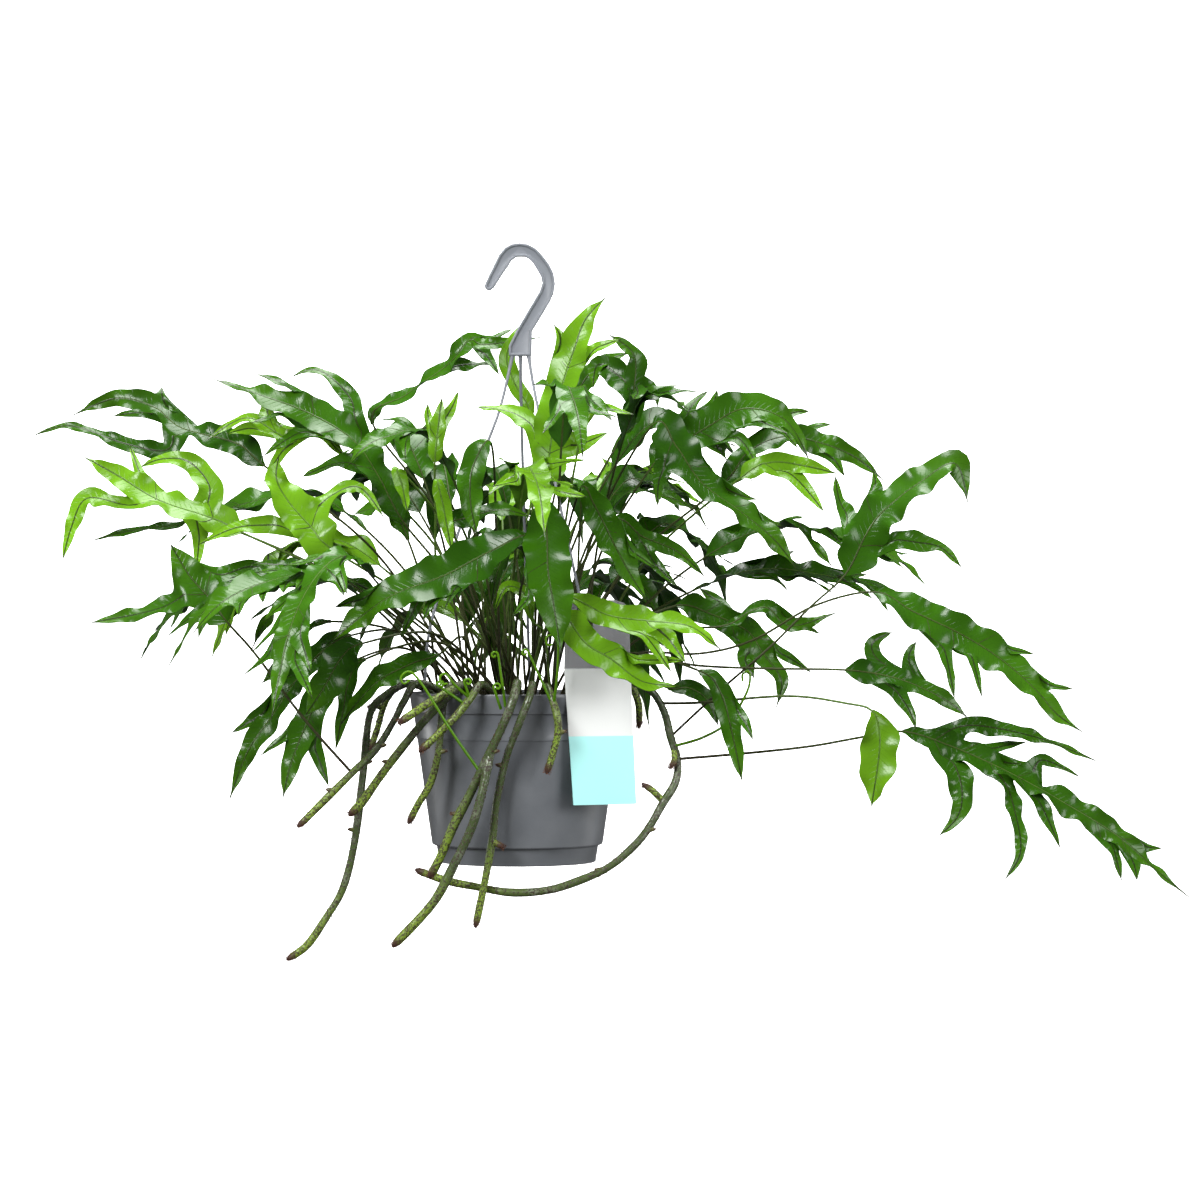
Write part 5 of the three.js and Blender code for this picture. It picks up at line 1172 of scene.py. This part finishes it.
def addFrond(parts, frond, shade, rng, drawn):
    tracks = frondTracks(frond)
    moreLobes(frond, tracks, rng, drawn)
    grid, uv, tone = mainGrid(frond, tracks)
    index = np.arange(tone.size).reshape(tone.shape)
    points, tones, quads = [grid.reshape(-1, 3)], [tone.ravel()], [gridQuads(index)]
    quadUvs = [uv.reshape(-1, 2)[quads[0]]]
    veins, count, steps, centre = [], tone.size, bladeForm["steps"], tone.shape[1] // 2
    for lobe in tracks["lobes"]:
        first = lobe["segment"] * steps
        edge = (first + np.arange(steps + 1))[::-lobe["side"]], 0 if lobe["side"] < 0 else -1
        made, lobeUv, lobeTone = lobeGrid(frond, lobe, grid[edge])
        points.append(made[1:].reshape(-1, 3))
        tones.append(lobeTone[1:].ravel())
        fresh = count + np.arange(lobeTone[1:].size).reshape(-1, steps + 1)
        quads.append(gridQuads(np.concatenate([index[edge][None], fresh])))
        quadUvs.append(lobeUv.reshape(-1, 2)[gridQuads(np.arange(lobeTone.size).reshape(lobeTone.shape))])
        count += fresh.size
        crossing = [grid[first + 1 + int(3 * k / centre), centre + lobe["side"] * k]
                    for k in range(centre + 1)]
        veins.append((np.array(crossing + list(made[1:-1, steps // 2])), lobe["width"]))
    sheet, faces, faceUvs = thickened(*(np.concatenate(rows) for rows in (points, quads, quadUvs)))
    youth, rising, stemYouth = bladeForm["youngTones" if frond["young"] else "oldTones"]
    tones = np.clip(youth + np.concatenate(tones) * rising, 0, 1)
    leaf = columns(np.tile(tones, 2), shade, np.repeat([0.0, 1.0], count))
    parts.add(sheet, leaf, {4: faces}, 0, faceUvs)
    # stem and rib in one tapering tube, and a thinner one for each lobe's rib
    stemPlaces = np.linspace(0, tracks["start"], max(int(tracks["start"] / 6), 4))
    stemPath = placesOn(tracks["track"], stemPlaces)[:-1]
    path = np.concatenate([stemPath, grid[:-3, centre]])
    share = np.arange(len(path)) / len(path)
    stemShare = len(stemPath) / len(path)
    ribShare = np.maximum(1 - (share - stemShare) / (1 - stemShare), 0)
    radii = np.where(share < stemShare, bladeForm["stem"] - bladeForm["stemTaper"] * share / stemShare,
                     bladeForm["ribTip"] + bladeForm["rib"] * ribShare)
    stemTone = np.clip(stemYouth * share / stemShare, 0, 0.9)
    parts.addTube(path, radii, 6, columns(stemTone, shade, 0), 1)
    for path, width in veins:
        taper = np.linspace(*bladeForm["lobeRib"], len(path)) * (0.8 + width / 60)
        parts.addTube(path, taper, 5, (0.15, shade, 0), 1)


# rhizomes with their scales and brown hairy tips
rhizomeForm = {"sides": 14, "step": 2.2, "scalesPerMm": 1.5, "hairs": 170, "hairLength": 2.4, "hair": 0.16,
               "budHairs": 40}
hairLeaf, scaleLeaf = (0.3, 0.5, 0), (0.2, 0.6, 0)


# small three-sided spikes, each one closed
def addSpikes(parts, feet, ways, lengths, widths, leaf, material):
    ways = unit(ways)
    helper = np.where(np.abs(ways[:, 2:3]) < 0.8, np.array([[0, 0, 1.0]]), np.array([[1.0, 0, 0]]))
    side = unit(cross(ways, helper))
    other = cross(ways, side)
    base = [feet + widths[:, None] * (math.cos(a) * side + math.sin(a) * other) for a in (0, 2.094, 4.189)]
    points = np.stack(base + [feet + ways * lengths[:, None]], 1).reshape(-1, 3)
    start = 4 * np.arange(len(feet))[:, None]
    tris = np.concatenate([start + np.array(t) for t in ([0, 2, 1], [0, 1, 3], [1, 2, 3], [2, 0, 3])])
    parts.add(points, leaf, {3: tris}, material)


def aroundTrack(track, at, radius, rng, sunk, stand):
    along = directionsOn(track, at)
    side = unit(cross(along, np.array([0.3, 0.9, 0.31])))
    other = cross(along, side)
    angle = rng.uniform(0, 2 * math.pi, len(at))[:, None]
    outward = np.cos(angle) * side + np.sin(angle) * other
    ways = along * (1 - stand) + outward * stand + rng.normal(0, 0.08, along.shape)
    return placesOn(track, at) + outward * radius * sunk, ways


def addRhizome(parts, rhizome, rng):
    tracks = rhizomeTracks(rhizome)
    for number, track in enumerate(tracks):
        length = track["length"]
        radius = min(rhizome["radius"], 2.4 + length / 60)
        distance = np.linspace(0, length, max(int(length / rhizomeForm["step"]), 6))
        share, fromTip = distance / length, length - distance
        swell = 1 + 0.05 * np.sin(distance / 9 + number) + 0.04 * np.sin(distance / 23 + 2 * number)
        swell *= np.where(share < 0.06, 0.9, 1)
        swell *= np.sqrt(np.clip((length - distance + 1.2) / 7, 0.18, 1))
        tip = np.clip(1 - (fromTip - 4) / 7, 0, 1)
        age = np.clip((fromTip - 25) / 60, 0, 1) * np.clip(1.25 - 0.5 * share, 0, 1)
        parts.addTube(placesOn(track, distance), radius * swell, rhizomeForm["sides"],
                      columns(age, tip, 0), 0)
        # brown scales lie towards the tip, hairs stand about the tip itself
        n = int(length * rhizomeForm["scalesPerMm"])
        at = rng.uniform(0.05, 0.985, n) * length
        feet, ways = aroundTrack(track, at, radius, rng, 0.93, 0.22)
        size = rng.uniform(0.9, 1.9, n)
        addSpikes(parts, feet, ways, size, size * 0.32, scaleLeaf, 2)
        n = rhizomeForm["hairs"]
        at = np.clip(length - rng.uniform(-0.5, 9, n), 0, length)
        feet, ways = aroundTrack(track, at, radius * 0.72, rng, 0.95, 0.75)
        addSpikes(parts, feet, ways, rng.uniform(0.6, 1, n) * rhizomeForm["hairLength"],
                  np.full(n, rhizomeForm["hair"]), hairLeaf, 3)
    n = rhizomeForm["budHairs"]
    for share, side in rhizome["buds"]:
        way = np.array([side, -0.2, 0.15])
        spot = placesOn(tracks[0], tracks[0]["length"] * share) + way * (rhizome["radius"] * 0.5)
        path = [spot + way * d for d in (0, 1.6, 3.2, 4.6, 5.4)]
        parts.addTube(path, [2.3, 2.2, 1.9, 1.3, 0.5], 10, columns(0.4, np.linspace(0.3, 1, 5), 0), 0)
        feet = path[3] + rng.normal(0, 0.6, (n, 3))
        ways = way + rng.normal(0, 0.5, (n, 3))
        addSpikes(parts, feet, ways, rng.uniform(0.9, 1.8, n), np.full(n, rhizomeForm["hair"]), hairLeaf, 3)


shootForm = {"radius": 1.2, "roll": 3.4, "rows": 70, "shade": 0.5}
smallCroziers = {
    "rhizome_left_short": [((-38, -103, -4), (-43, -108, 11), 1), ((-45, -104, -6), (-66, -110, 9), 1)],
    "rhizome_small_arch": [((32, -98, -8), (12, -104, 36), -1)],
    "rhizome_front_long": [((-12, -101, -12), (-18, -108, 7), 1), ((-8, -101, -10), (-14, -106, 34), -1)],
}


# a short stem that rolls up at its top
def crozierPath(foot, top, side):
    foot, top = np.array(foot, float), np.array(top, float)
    path = [foot + (top - foot) * share for share in (0, 0.4, 0.75)]
    middle = top + np.array([side * shootForm["roll"], 0, 0])
    for k in range(9):
        angle, reach = k * math.pi / 4, shootForm["roll"] * (1 - k / 11)
        path.append(middle + reach * np.array([-side * math.cos(angle), -0.05 * k, math.sin(angle)]))
    return path


def addCurledShoot(parts, path):
    track = trackOf(path)
    distance = np.linspace(0, track["length"], shootForm["rows"])
    taper = shootForm["radius"] * np.clip(1.15 - distance / track["length"] * 0.35, 0.6, 1.2)
    leaf = columns(0.45 + 0.4 * (distance / track["length"]), shootForm["shade"], 0)
    parts.addTube(placesOn(track, distance), taper, 8, leaf, 0)


def makePlantNode(number, node):
    rng = np.random.default_rng(layout["pieceSeed"] + number)
    name, fronds, parts = node["name"], node["fronds"], Gathered()
    for frond in fronds:
        addFrond(parts, frond, rng.uniform(0.1, 0.95), rng, "inner" in name)
    shoots = [grouped(curledShoots[name], 3)] if name in curledShoots else []
    if not fronds:
        shoots += [crozierPath(*crozier) for crozier in smallCroziers.get(name, [])]
    for path in shoots:
        addCurledShoot(parts, path)
    if fronds or shoots:
        ending = "_shoot" if not fronds else "_leaves" if "rhizome" in node else "_fine"
        young = not fronds or any(frond["young"] for frond in fronds)
        parts.piece(name + ending, plantMaterials, "young_frond" if young else "old_frond", name)
    if "rhizome" in node:
        parts = Gathered()
        addRhizome(parts, node["rhizome"], rng)
        parts.piece(name + "_fine", rhizomeMaterials, "rhizome", name)


for number, node in enumerate(plant):
    makePlantNode(number, node)
print("fronds and rhizomes made")


# a ring is extruded on through each radius and height, as on a wheel
def turned(name, outline, sides):
    radius, height = outline[0]
    bpy.ops.mesh.primitive_circle_add(vertices=sides, radius=radius / 1000, location=metres(0, 0, height))
    piece = bpy.context.active_object
    piece.name = name
    editAll()
    bpy.ops.mesh.edge_face_add()
    bpy.ops.mesh.select_mode(type="EDGE")
    bpy.ops.mesh.select_all(action="SELECT")
    for nextRadius, nextHeight in outline[1:]:
        move = {"value": (0, 0, (nextHeight - height) / 1000)}
        bpy.ops.mesh.extrude_edges_move(TRANSFORM_OT_translate=move)
        scale = nextRadius / radius
        bpy.ops.transform.resize(value=(scale, scale, 1), center_override=metres(0, 0, nextHeight))
        radius, height = nextRadius, nextHeight
    bpy.ops.mesh.edge_face_add()
    bpy.ops.mesh.select_all(action="SELECT")
    bpy.ops.mesh.remove_doubles(threshold=0.00001)
    bpy.ops.mesh.normals_make_consistent(inside=False)
    mode("OBJECT")
    return piece


# pot
potForm = {
    "sides": 160, "foot": -149, "footRadius": 68, "smooth": 24,
    "outer": [
        (62, -146.6), (64.4, -146.8), (65.6, -148.6), (66.4, -149), (68.2, -149), (68.9, -148.5),
        (70.9, -135.6), (71.6, -134.4), (74.4, -133.3), (75.1, -132.4), (81.2, -90), (87.6, -44.2),
        (88.3, -40.4), (88.9, -39.6), (89.2, -36.2), (89.1, -35.4), (91, -18.2), (91.5, -17.3),
        (92.4, -17), (92.8, -16.5), (94.6, -4), (94.9, -1.2), (94.7, -0.3), (94.2, 0),
    ],
    "inner": [
        (93.4, 0), (93, -0.3), (92.7, -2), (89.8, -16.6), (87.6, -36), (86.6, -41), (79.4, -92),
        (73.6, -130.2), (72.4, -131.6), (69.4, -132.8), (67.2, -144.9), (60, -144.9),
    ],
    "notches": 10, "notchHeight": 3.2, "notchHalf": 6, "notchSlope": 2, "notchReach": 0.9,
    # after the wall's two tones comes a painted sheen colour, laid on the rim band and more weakly on the
    # foot
    "dark": (0.064, 0.072, 0.086), "light": (0.098, 0.107, 0.122), "paintedSheen": (0.20, 0.21, 0.22),
    "dust": (0.17, 0.18, 0.18), "roughness": 0.28, "bandEdge": (-17.4, -16.6), "footEdge": (-132.4, -134),
}
lugForm = {"width": 15, "depth": 9, "border": 1, "hole": (6, 4.4), "height": 2.6, "bevel": 0.5,
           "middle": 88.6, "level": -3}


def makeLug(angle):
    width, depth, border = lugForm["width"], lugForm["depth"], lugForm["border"]
    holeWidth, holeDepth = lugForm["hole"]
    mode("OBJECT")
    bpy.ops.mesh.primitive_plane_add(size=1, location=(0, 0, 0))
    lug = bpy.context.active_object
    lug.name = f"rim_lug_{angle % 360}"
    editAll()
    bpy.ops.transform.resize(value=(width / 1000, depth / 1000, 1))
    bpy.ops.mesh.inset(thickness=border / 1000, use_individual=False)
    bpy.ops.transform.resize(value=(holeWidth / (width - 2 * border), holeDepth / (depth - 2 * border), 1))
    bpy.ops.mesh.delete(type="FACE")
    mode("OBJECT")
    solidify = lug.modifiers.new("wall", "SOLIDIFY")
    solidify.thickness = lugForm["height"] / 1000
    solidify.offset = 0
    bevelled(lug, lugForm["bevel"] / 1000)
    lug.rotation_euler = (0, 0, math.radians(angle))
    lug.location = metres(*aroundPot(angle, lugForm["middle"]), lugForm["level"])
    return applied(lug)


def potFinish():
    f = Finish("pot_blue_grey")
    moulded, fine = f.noise(26, 4), f.noise(900, 2)
    dust = f.smooth(f.noise(140, 5, rough=0.7), 0.60, 0.78)
    colour = f.blend(moulded, potForm["dark"], potForm["light"])
    colour = f.blend(dust * 0.16, colour, potForm["dust"])
    # the rim band gets a painted sheen, a paler colour in place of the lamps' reflection, and the foot is
    # painted paler than the wall too
    height = f.plantHeight()
    paintedSheen = f.smooth(height, *potForm["bandEdge"]) + f.smooth(height, *potForm["footEdge"]) * 0.6
    colour = f.blend(paintedSheen * (moulded * 0.6 + 0.15), colour, potForm["paintedSheen"])
    return f.set(Base_Color=colour, Roughness=potForm["roughness"] + moulded * 0.07 + dust * 0.15,
                 Normal=f.bump(fine * 0.6 + moulded, 0.12, 0.0003), Coat_Weight=0.15, Coat_Roughness=0.2)


def makePot():
    pot = turned("pot_shell", potForm["outer"] + potForm["inner"], potForm["sides"])
    # small notches let water out under the foot
    low = (potForm["foot"] + plantOrigin[2] + potForm["notchReach"]) / 1000
    step, half = 360 / potForm["notches"], potForm["notchHalf"]
    for vertex in pot.data.vertices:
        angle = math.degrees(math.atan2(vertex.co.y, vertex.co.x - plantOrigin[0] / 1000))
        near = abs((angle + step / 2) % step - step / 2) * potForm["footRadius"] * math.pi / 180
        if vertex.co.z < low and near < half:
            lift = min(1, (half - near) / potForm["notchSlope"])
            vertex.co.z += potForm["notchHeight"] / 1000 * lift
    finish = potFinish()
    # the pot, and the three drilled lugs that the strands clip into
    for piece in [pot] + [makeLug(angle) for angle in strandAngles.values()]:
        smoothed(coated(piece, finish), potForm["smooth"])
        settled(piece, "pot_plastic", "pot")


makePot()
print("pot made")

# hook with its three strands
def hookShape():
    half = hookForm["half"] / 1000
    mesh = bpy.data.meshes.new("hook_body")
    corners = [(x / 1000, -half, z / 1000) for x, z in hookForm["outline"]]
    mesh.from_pydata(corners, [], [list(range(len(corners)))])
    hook = chosen(linked("hook_body", mesh))
    editAll()
    bpy.ops.mesh.extrude_region_move(TRANSFORM_OT_translate={"value": (0, 2 * half, 0)})
    bpy.ops.mesh.select_all(action="SELECT")
    bpy.ops.mesh.normals_make_consistent(inside=False)
    bpy.ops.mesh.select_mode(type="FACE")
    # a border is left standing round the sunken web on both flat faces
    for side in (-1, 1):
        bpy.ops.mesh.select_all(action="DESELECT")
        mode("OBJECT")
        for face in mesh.polygons:
            face.select = face.normal.y * side > 0.9 and len(face.vertices) > 8
        mode("EDIT")
        bpy.ops.mesh.inset(thickness=hookForm["border"] / 1000, depth=0)
        bpy.ops.mesh.inset(thickness=hookForm["webEdge"] / 1000, depth=-hookForm["web"] / 1000)
    mode("OBJECT")
    bevelled(hook, hookForm["bevel"] / 1000).limit_method = "ANGLE"
    return smoothed(applied(hook), hookForm["smooth"])


def makeHanger():
    f = Finish("hook_grey_plastic")
    clouds, fine = f.noise(40, 3), f.noise(700, 2)
    worn = f.smooth(f.noise(190, 4, rough=0.65), 0.62, 0.74)
    colour = f.blend(clouds, hookForm["pale"], hookForm["grey"])
    colour = f.blend(worn * 0.25, colour, hookForm["worn"])
    f.set(Base_Color=colour, Roughness=hookForm["roughness"] + clouds * 0.08 + fine * 0.05,
          Normal=f.bump(fine + clouds * 0.4, 0.12, 0.0003))
    settled(coated(hookShape(), f.material), "hook_plastic", "hanger")
    parts, form = Gathered(), strandForm
    for name, angle in strandAngles.items():
        track = strandTrack(name)
        distance = np.linspace(0, track["length"], form["rows"])
        radii = form["radius"] + (form["root"] - form["radius"]) * np.exp(-distance / form["rootLength"])
        # the strand ends in a barb that is wider than the hole in its lug
        fromBarb = (track["length"] - distance - form["barbPlace"]) / form["barbLength"]
        radii += form["barb"] * np.exp(-fromBarb ** 2)
        parts.addTube(placesOn(track, distance), radii, form["sides"], form["leaf"], 0)
        x, y = aroundPot(angle, layout["lugRadius"])
        way = np.array([math.cos(math.radians(angle)), math.sin(math.radians(angle)), 0])
        bar = [np.array([x, y, form["barDepth"]]) + way * d for d in form["bar"]]
        parts.addTube(bar, form["barRadii"], form["sides"], form["leaf"], 0)
    parts.piece("hanger_strands", [f.material], "hook_plastic", "hanger")


makeHanger()
print("hanger made")

# potting mix
soilForm = {
    "outline": [(66.8, -143.8), (68.9, -132.2), (72, -131), (73.2, -129.8), (86, -40), (87.3, -16)],
    "sides": 96, "rings": 14, "ring": 5.6, "ringRise": 0.22, "grains": 2600, "seed": 71, "leaf": (0, 0.5, 0),
    "shares": [0.60, 0.33, 0.07], "reach": 85, "rise": 2.2, "sizes": (0.7, 2.3), "squash": 0.6, "lump": 1.1,
    "lumpNoise": 0.45, "below": 4, "fadeEnd": 87, "fadeOver": 6,
}
# a grain is a squashed double pyramid
grainCorners = np.array([[1, 0, 0], [0, 1, 0], [-1, 0, 0], [0, -1, 0], [0, 0, 1], [0, 0, -1]], float)
grainFaces = np.array([[0, 1, 4], [1, 2, 4], [2, 3, 4], [3, 0, 4],
                       [1, 0, 5], [2, 1, 5], [3, 2, 5], [0, 3, 5]])


def soilBed(rng):
    soil = turned("potting_mix_bed", soilForm["outline"], soilForm["sides"])
    chosen(soil)
    mode("EDIT")
    bpy.ops.mesh.select_mode(type="FACE")
    bpy.ops.mesh.select_all(action="DESELECT")
    mode("OBJECT")
    for face in soil.data.polygons:
        face.select = face.normal.z > 0.9
    mode("EDIT")
    for _ in range(soilForm["rings"]):
        bpy.ops.mesh.inset(thickness=soilForm["ring"] / 1000, depth=soilForm["ringRise"] / 1000)
    mode("OBJECT")
    level = (layout["soilLevel"] - soilForm["below"] + plantOrigin[2]) / 1000
    for vertex in soil.data.vertices:
        if vertex.co.z > level:
            x, y = vertex.co.x * 1000, vertex.co.y * 1000
            lump = math.sin(x / 7 + 1) * math.sin(y / 9) + 0.6 * math.sin(x / 3.1) * math.sin(y / 3.7 + 2)
            inside = soilForm["fadeEnd"] - math.hypot(x - plantOrigin[0], y)
            fade = min(1, inside / soilForm["fadeOver"])
            lift = soilForm["lump"] * lump + rng.normal(0, soilForm["lumpNoise"])
            vertex.co.z += lift / 1000 * fade
    return soil


def makeSoil():
    rng = np.random.default_rng(soilForm["seed"])
    soil = soilBed(rng)
    materials = [
        plainFinish("potting_mix_dark", (0.022, 0.013, 0.008), (0.050, 0.030, 0.018), 220, 0.86, 0.8, 0.0012),
        plainFinish("bark_bits", (0.16, 0.062, 0.020), (0.075, 0.034, 0.014), 260, 0.8, 0.6, 0.0006),
        plainFinish("perlite_bits", (0.34, 0.29, 0.21), (0.20, 0.15, 0.10), 260, 0.8, 0.5, 0.0005),
    ]
    settled(coated(soil, materials[0]), "potting_mix", "potting_mix")
    grains = Gathered()
    n, reach = soilForm["grains"], soilForm["reach"]
    radius = (reach - 0.5) * np.sqrt(rng.uniform(0, 1, n))
    angle = rng.uniform(0, 2 * math.pi, n)
    size = rng.uniform(*soilForm["sizes"], n) * np.where(rng.uniform(0, 1, n) < 0.1, 1.7, 1)
    rise = soilForm["rise"] * (1 - (radius / reach) ** 2)
    height = layout["soilLevel"] + rise + rng.uniform(-0.6, 0.9, n)
    kinds = rng.choice([0, 1, 2], n, p=soilForm["shares"])
    for kind in (0, 1, 2):
        picked = np.flatnonzero(kinds == kind)
        turns = rng.uniform(0, 2 * math.pi, len(picked))
        shape = grainCorners * rng.uniform(0.45, 1.25, (len(picked), 6, 1)) * size[picked, None, None]
        shape[..., 2] *= soilForm["squash"]
        spin = np.array([[np.cos(turns), -np.sin(turns)], [np.sin(turns), np.cos(turns)]]).transpose(2, 0, 1)
        shape[..., :2] = np.einsum("nij,nkj->nki", spin, shape[..., :2])
        middle = columns(radius * np.cos(angle), radius * np.sin(angle), height)[picked]
        tris = (6 * np.arange(len(picked))[:, None, None] + grainFaces).reshape(-1, 3)
        grains.add((shape + middle[:, None]).reshape(-1, 3), soilForm["leaf"], {3: tris}, kind)
    grains.piece("potting_mix_grains", materials, "potting_mix", "potting_mix")


makeSoil()
print("potting mix made")

# plant label: a bent card, grey head, white card with a turquoise lower half
def labelFinish():
    f = Finish("label_card")
    height = f.plantHeight()
    fibre = f.noise(900, 3)
    scuff = f.smooth(f.noise(60, 4), 0.62, 0.8)
    split, crease = label["split"], label["crease"]
    colour = f.blend(f.smooth(height, split - 0.3, split + 0.3), label["turquoise"], label["white"])
    colour = f.blend(f.smooth(height, crease - 0.5, crease + 0.5), colour, label["grey"])
    colour = f.blend(scuff * 0.10, colour, label["scuff"])
    return f.set(Base_Color=colour, Roughness=0.36 + fibre * 0.12, Normal=f.bump(fibre, 0.15, 0.0002))


def labelEnds(z, up):
    if up <= 1:
        return label["left"] + label["taper"] * (1 - up), label["right"] - label["headTaper"] * up
    rise = (z - label["crease"]) / (label["headTop"] - label["crease"])
    corner = label["headCorner"]
    drop = max(z - (label["headTop"] - corner), 0)
    high = label["right"] - label["headTaper"] - rise - (corner - math.sqrt(max(corner ** 2 - drop ** 2, 0)))
    return label["left"] + rise, high


def makeLabel():
    crease, bottom, columnCount = label["crease"], label["bottom"], label["columns"]
    rows = np.concatenate([np.linspace(bottom, crease, label["cardRows"]),
                           np.linspace(crease, label["headTop"], label["headRows"])[1:]])
    points = []
    for z in rows:
        up = (z - bottom) / (crease - bottom)
        low, high = labelEnds(z, up)
        for k in range(columnCount):
            x = low + (high - low) * k / (columnCount - 1)
            bow = label["curl"] * math.sin(math.pi * k / (columnCount - 1))
            points.append((x, labelPlace(x, z) - bow * math.sin(math.pi * min(up, 1)), z))
    points = np.array(points)
    quads = gridQuads(np.arange(len(points)).reshape(-1, columnCount))
    x, _, z = points[quads].mean(1).T
    left, right, low, high = label["hole"]
    quads = quads[~((x > left) & (x < right) & (z > low) & (z < high))]
    parts = Gathered()
    parts.add(points, (0, 0, 0), {4: quads}, 0)
    piece = parts.piece("label_card_sheet", [labelFinish()], "label_card", "plant_label")
    solidify = piece.modifiers.new("card", "SOLIDIFY")
    solidify.thickness = label["thick"] / 1000
    solidify.offset = -1
    smoothed(applied(piece), label["smooth"])


makeLabel()
print("label made")

# floor, soft light and camera
studio = {
    "distance": 3.3, "centre": (0.0696, -0.302), "lens": 112.5, "sensor": 36, "world": 0.14, "glow": 1.0,
    "floor": (0, 0.3, -0.95), "floorSize": (14, 9, 1), "walls": (0.12, 0.45, 1.0, 6.0),
    "aim": (0, 0, -0.3), "backAim": (0, 1.5, -0.5), "smooth": 80,
}
# each lamp's power, place and size
lamps = {
    "key": (84, (-1.3, -2.0, 1.0), 1.0), "fill": (44, (1.9, -1.8, 0.3), 1.2),
    "top": (66, (0.1, 0.1, 1.5), 1.2), "back": (120, (0.0, 3.6, 0.6), 3.0),
    "left": (12, (-2.4, 1.1, -0.4), 0.9), "right": (18, (2.4, 0.9, -0.4), 0.9),
}


def makeFloor():
    mode("OBJECT")
    bpy.ops.mesh.primitive_plane_add(size=1, location=studio["floor"])
    floor = bpy.context.active_object
    floor.name = "studio_floor"
    editAll()
    bpy.ops.transform.resize(value=studio["floorSize"], center_override=studio["floor"])
    bpy.ops.mesh.region_to_loop()
    for rise in studio["walls"]:
        bpy.ops.mesh.extrude_edges_move(TRANSFORM_OT_translate={"value": (0, 0, rise)})
    bpy.ops.mesh.select_all(action="SELECT")
    bpy.ops.mesh.normals_make_consistent(inside=True)
    mode("OBJECT")
    f = Finish("studio_white")
    mottle = f.blend(f.noise(0.6, 2), (0.92, 0.92, 0.92), (0.95, 0.95, 0.95))
    f.set(Base_Color=mottle, Roughness=0.85, Emission_Color=(1, 1, 1), Emission_Strength=studio["glow"])
    smoothed(coated(floor, f.material), studio["smooth"])
    floor.visible_glossy = False
    floor.visible_diffuse = False


def makeLight():
    world = bpy.data.worlds.new("soft_sky")
    world.use_nodes = True
    sky = world.node_tree.nodes["Background"]
    sky.inputs["Color"].default_value = (1, 1, 1, 1)
    sky.inputs["Strength"].default_value = studio["world"]
    bpy.context.scene.world = world
    for name, (power, place, size) in lamps.items():
        light = bpy.data.lights.new(name + "_softbox", "AREA")
        light.shape = "SQUARE"
        light.size = size
        light.energy = power
        lamp = linked(name + "_softbox", light)
        lamp.location = place
        aim = Vector(studio["backAim"]) if name == "back" else Vector(studio["aim"]) - Vector(place)
        lamp.rotation_euler = aim.to_track_quat("-Z", "Y").to_euler()


def makeCamera():
    camera = linked("camera", bpy.data.cameras.new("camera"))
    x, z = studio["centre"]
    camera.location = (x, -studio["distance"], z)
    camera.rotation_euler = (math.pi / 2, 0, 0)
    camera.data.lens = studio["lens"]
    camera.data.sensor_width = studio["sensor"]
    bpy.context.scene.camera = camera
    bpy.context.scene.view_settings.view_transform = "Standard"


makeFloor()
makeLight()
makeCamera()
total = sum(len(o.data.loop_triangles) or sum(len(p.vertices) - 2 for p in o.data.polygons)
            for o in bpy.data.objects if o.type == "MESH" and "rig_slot" in o)
print("triangles:", total)
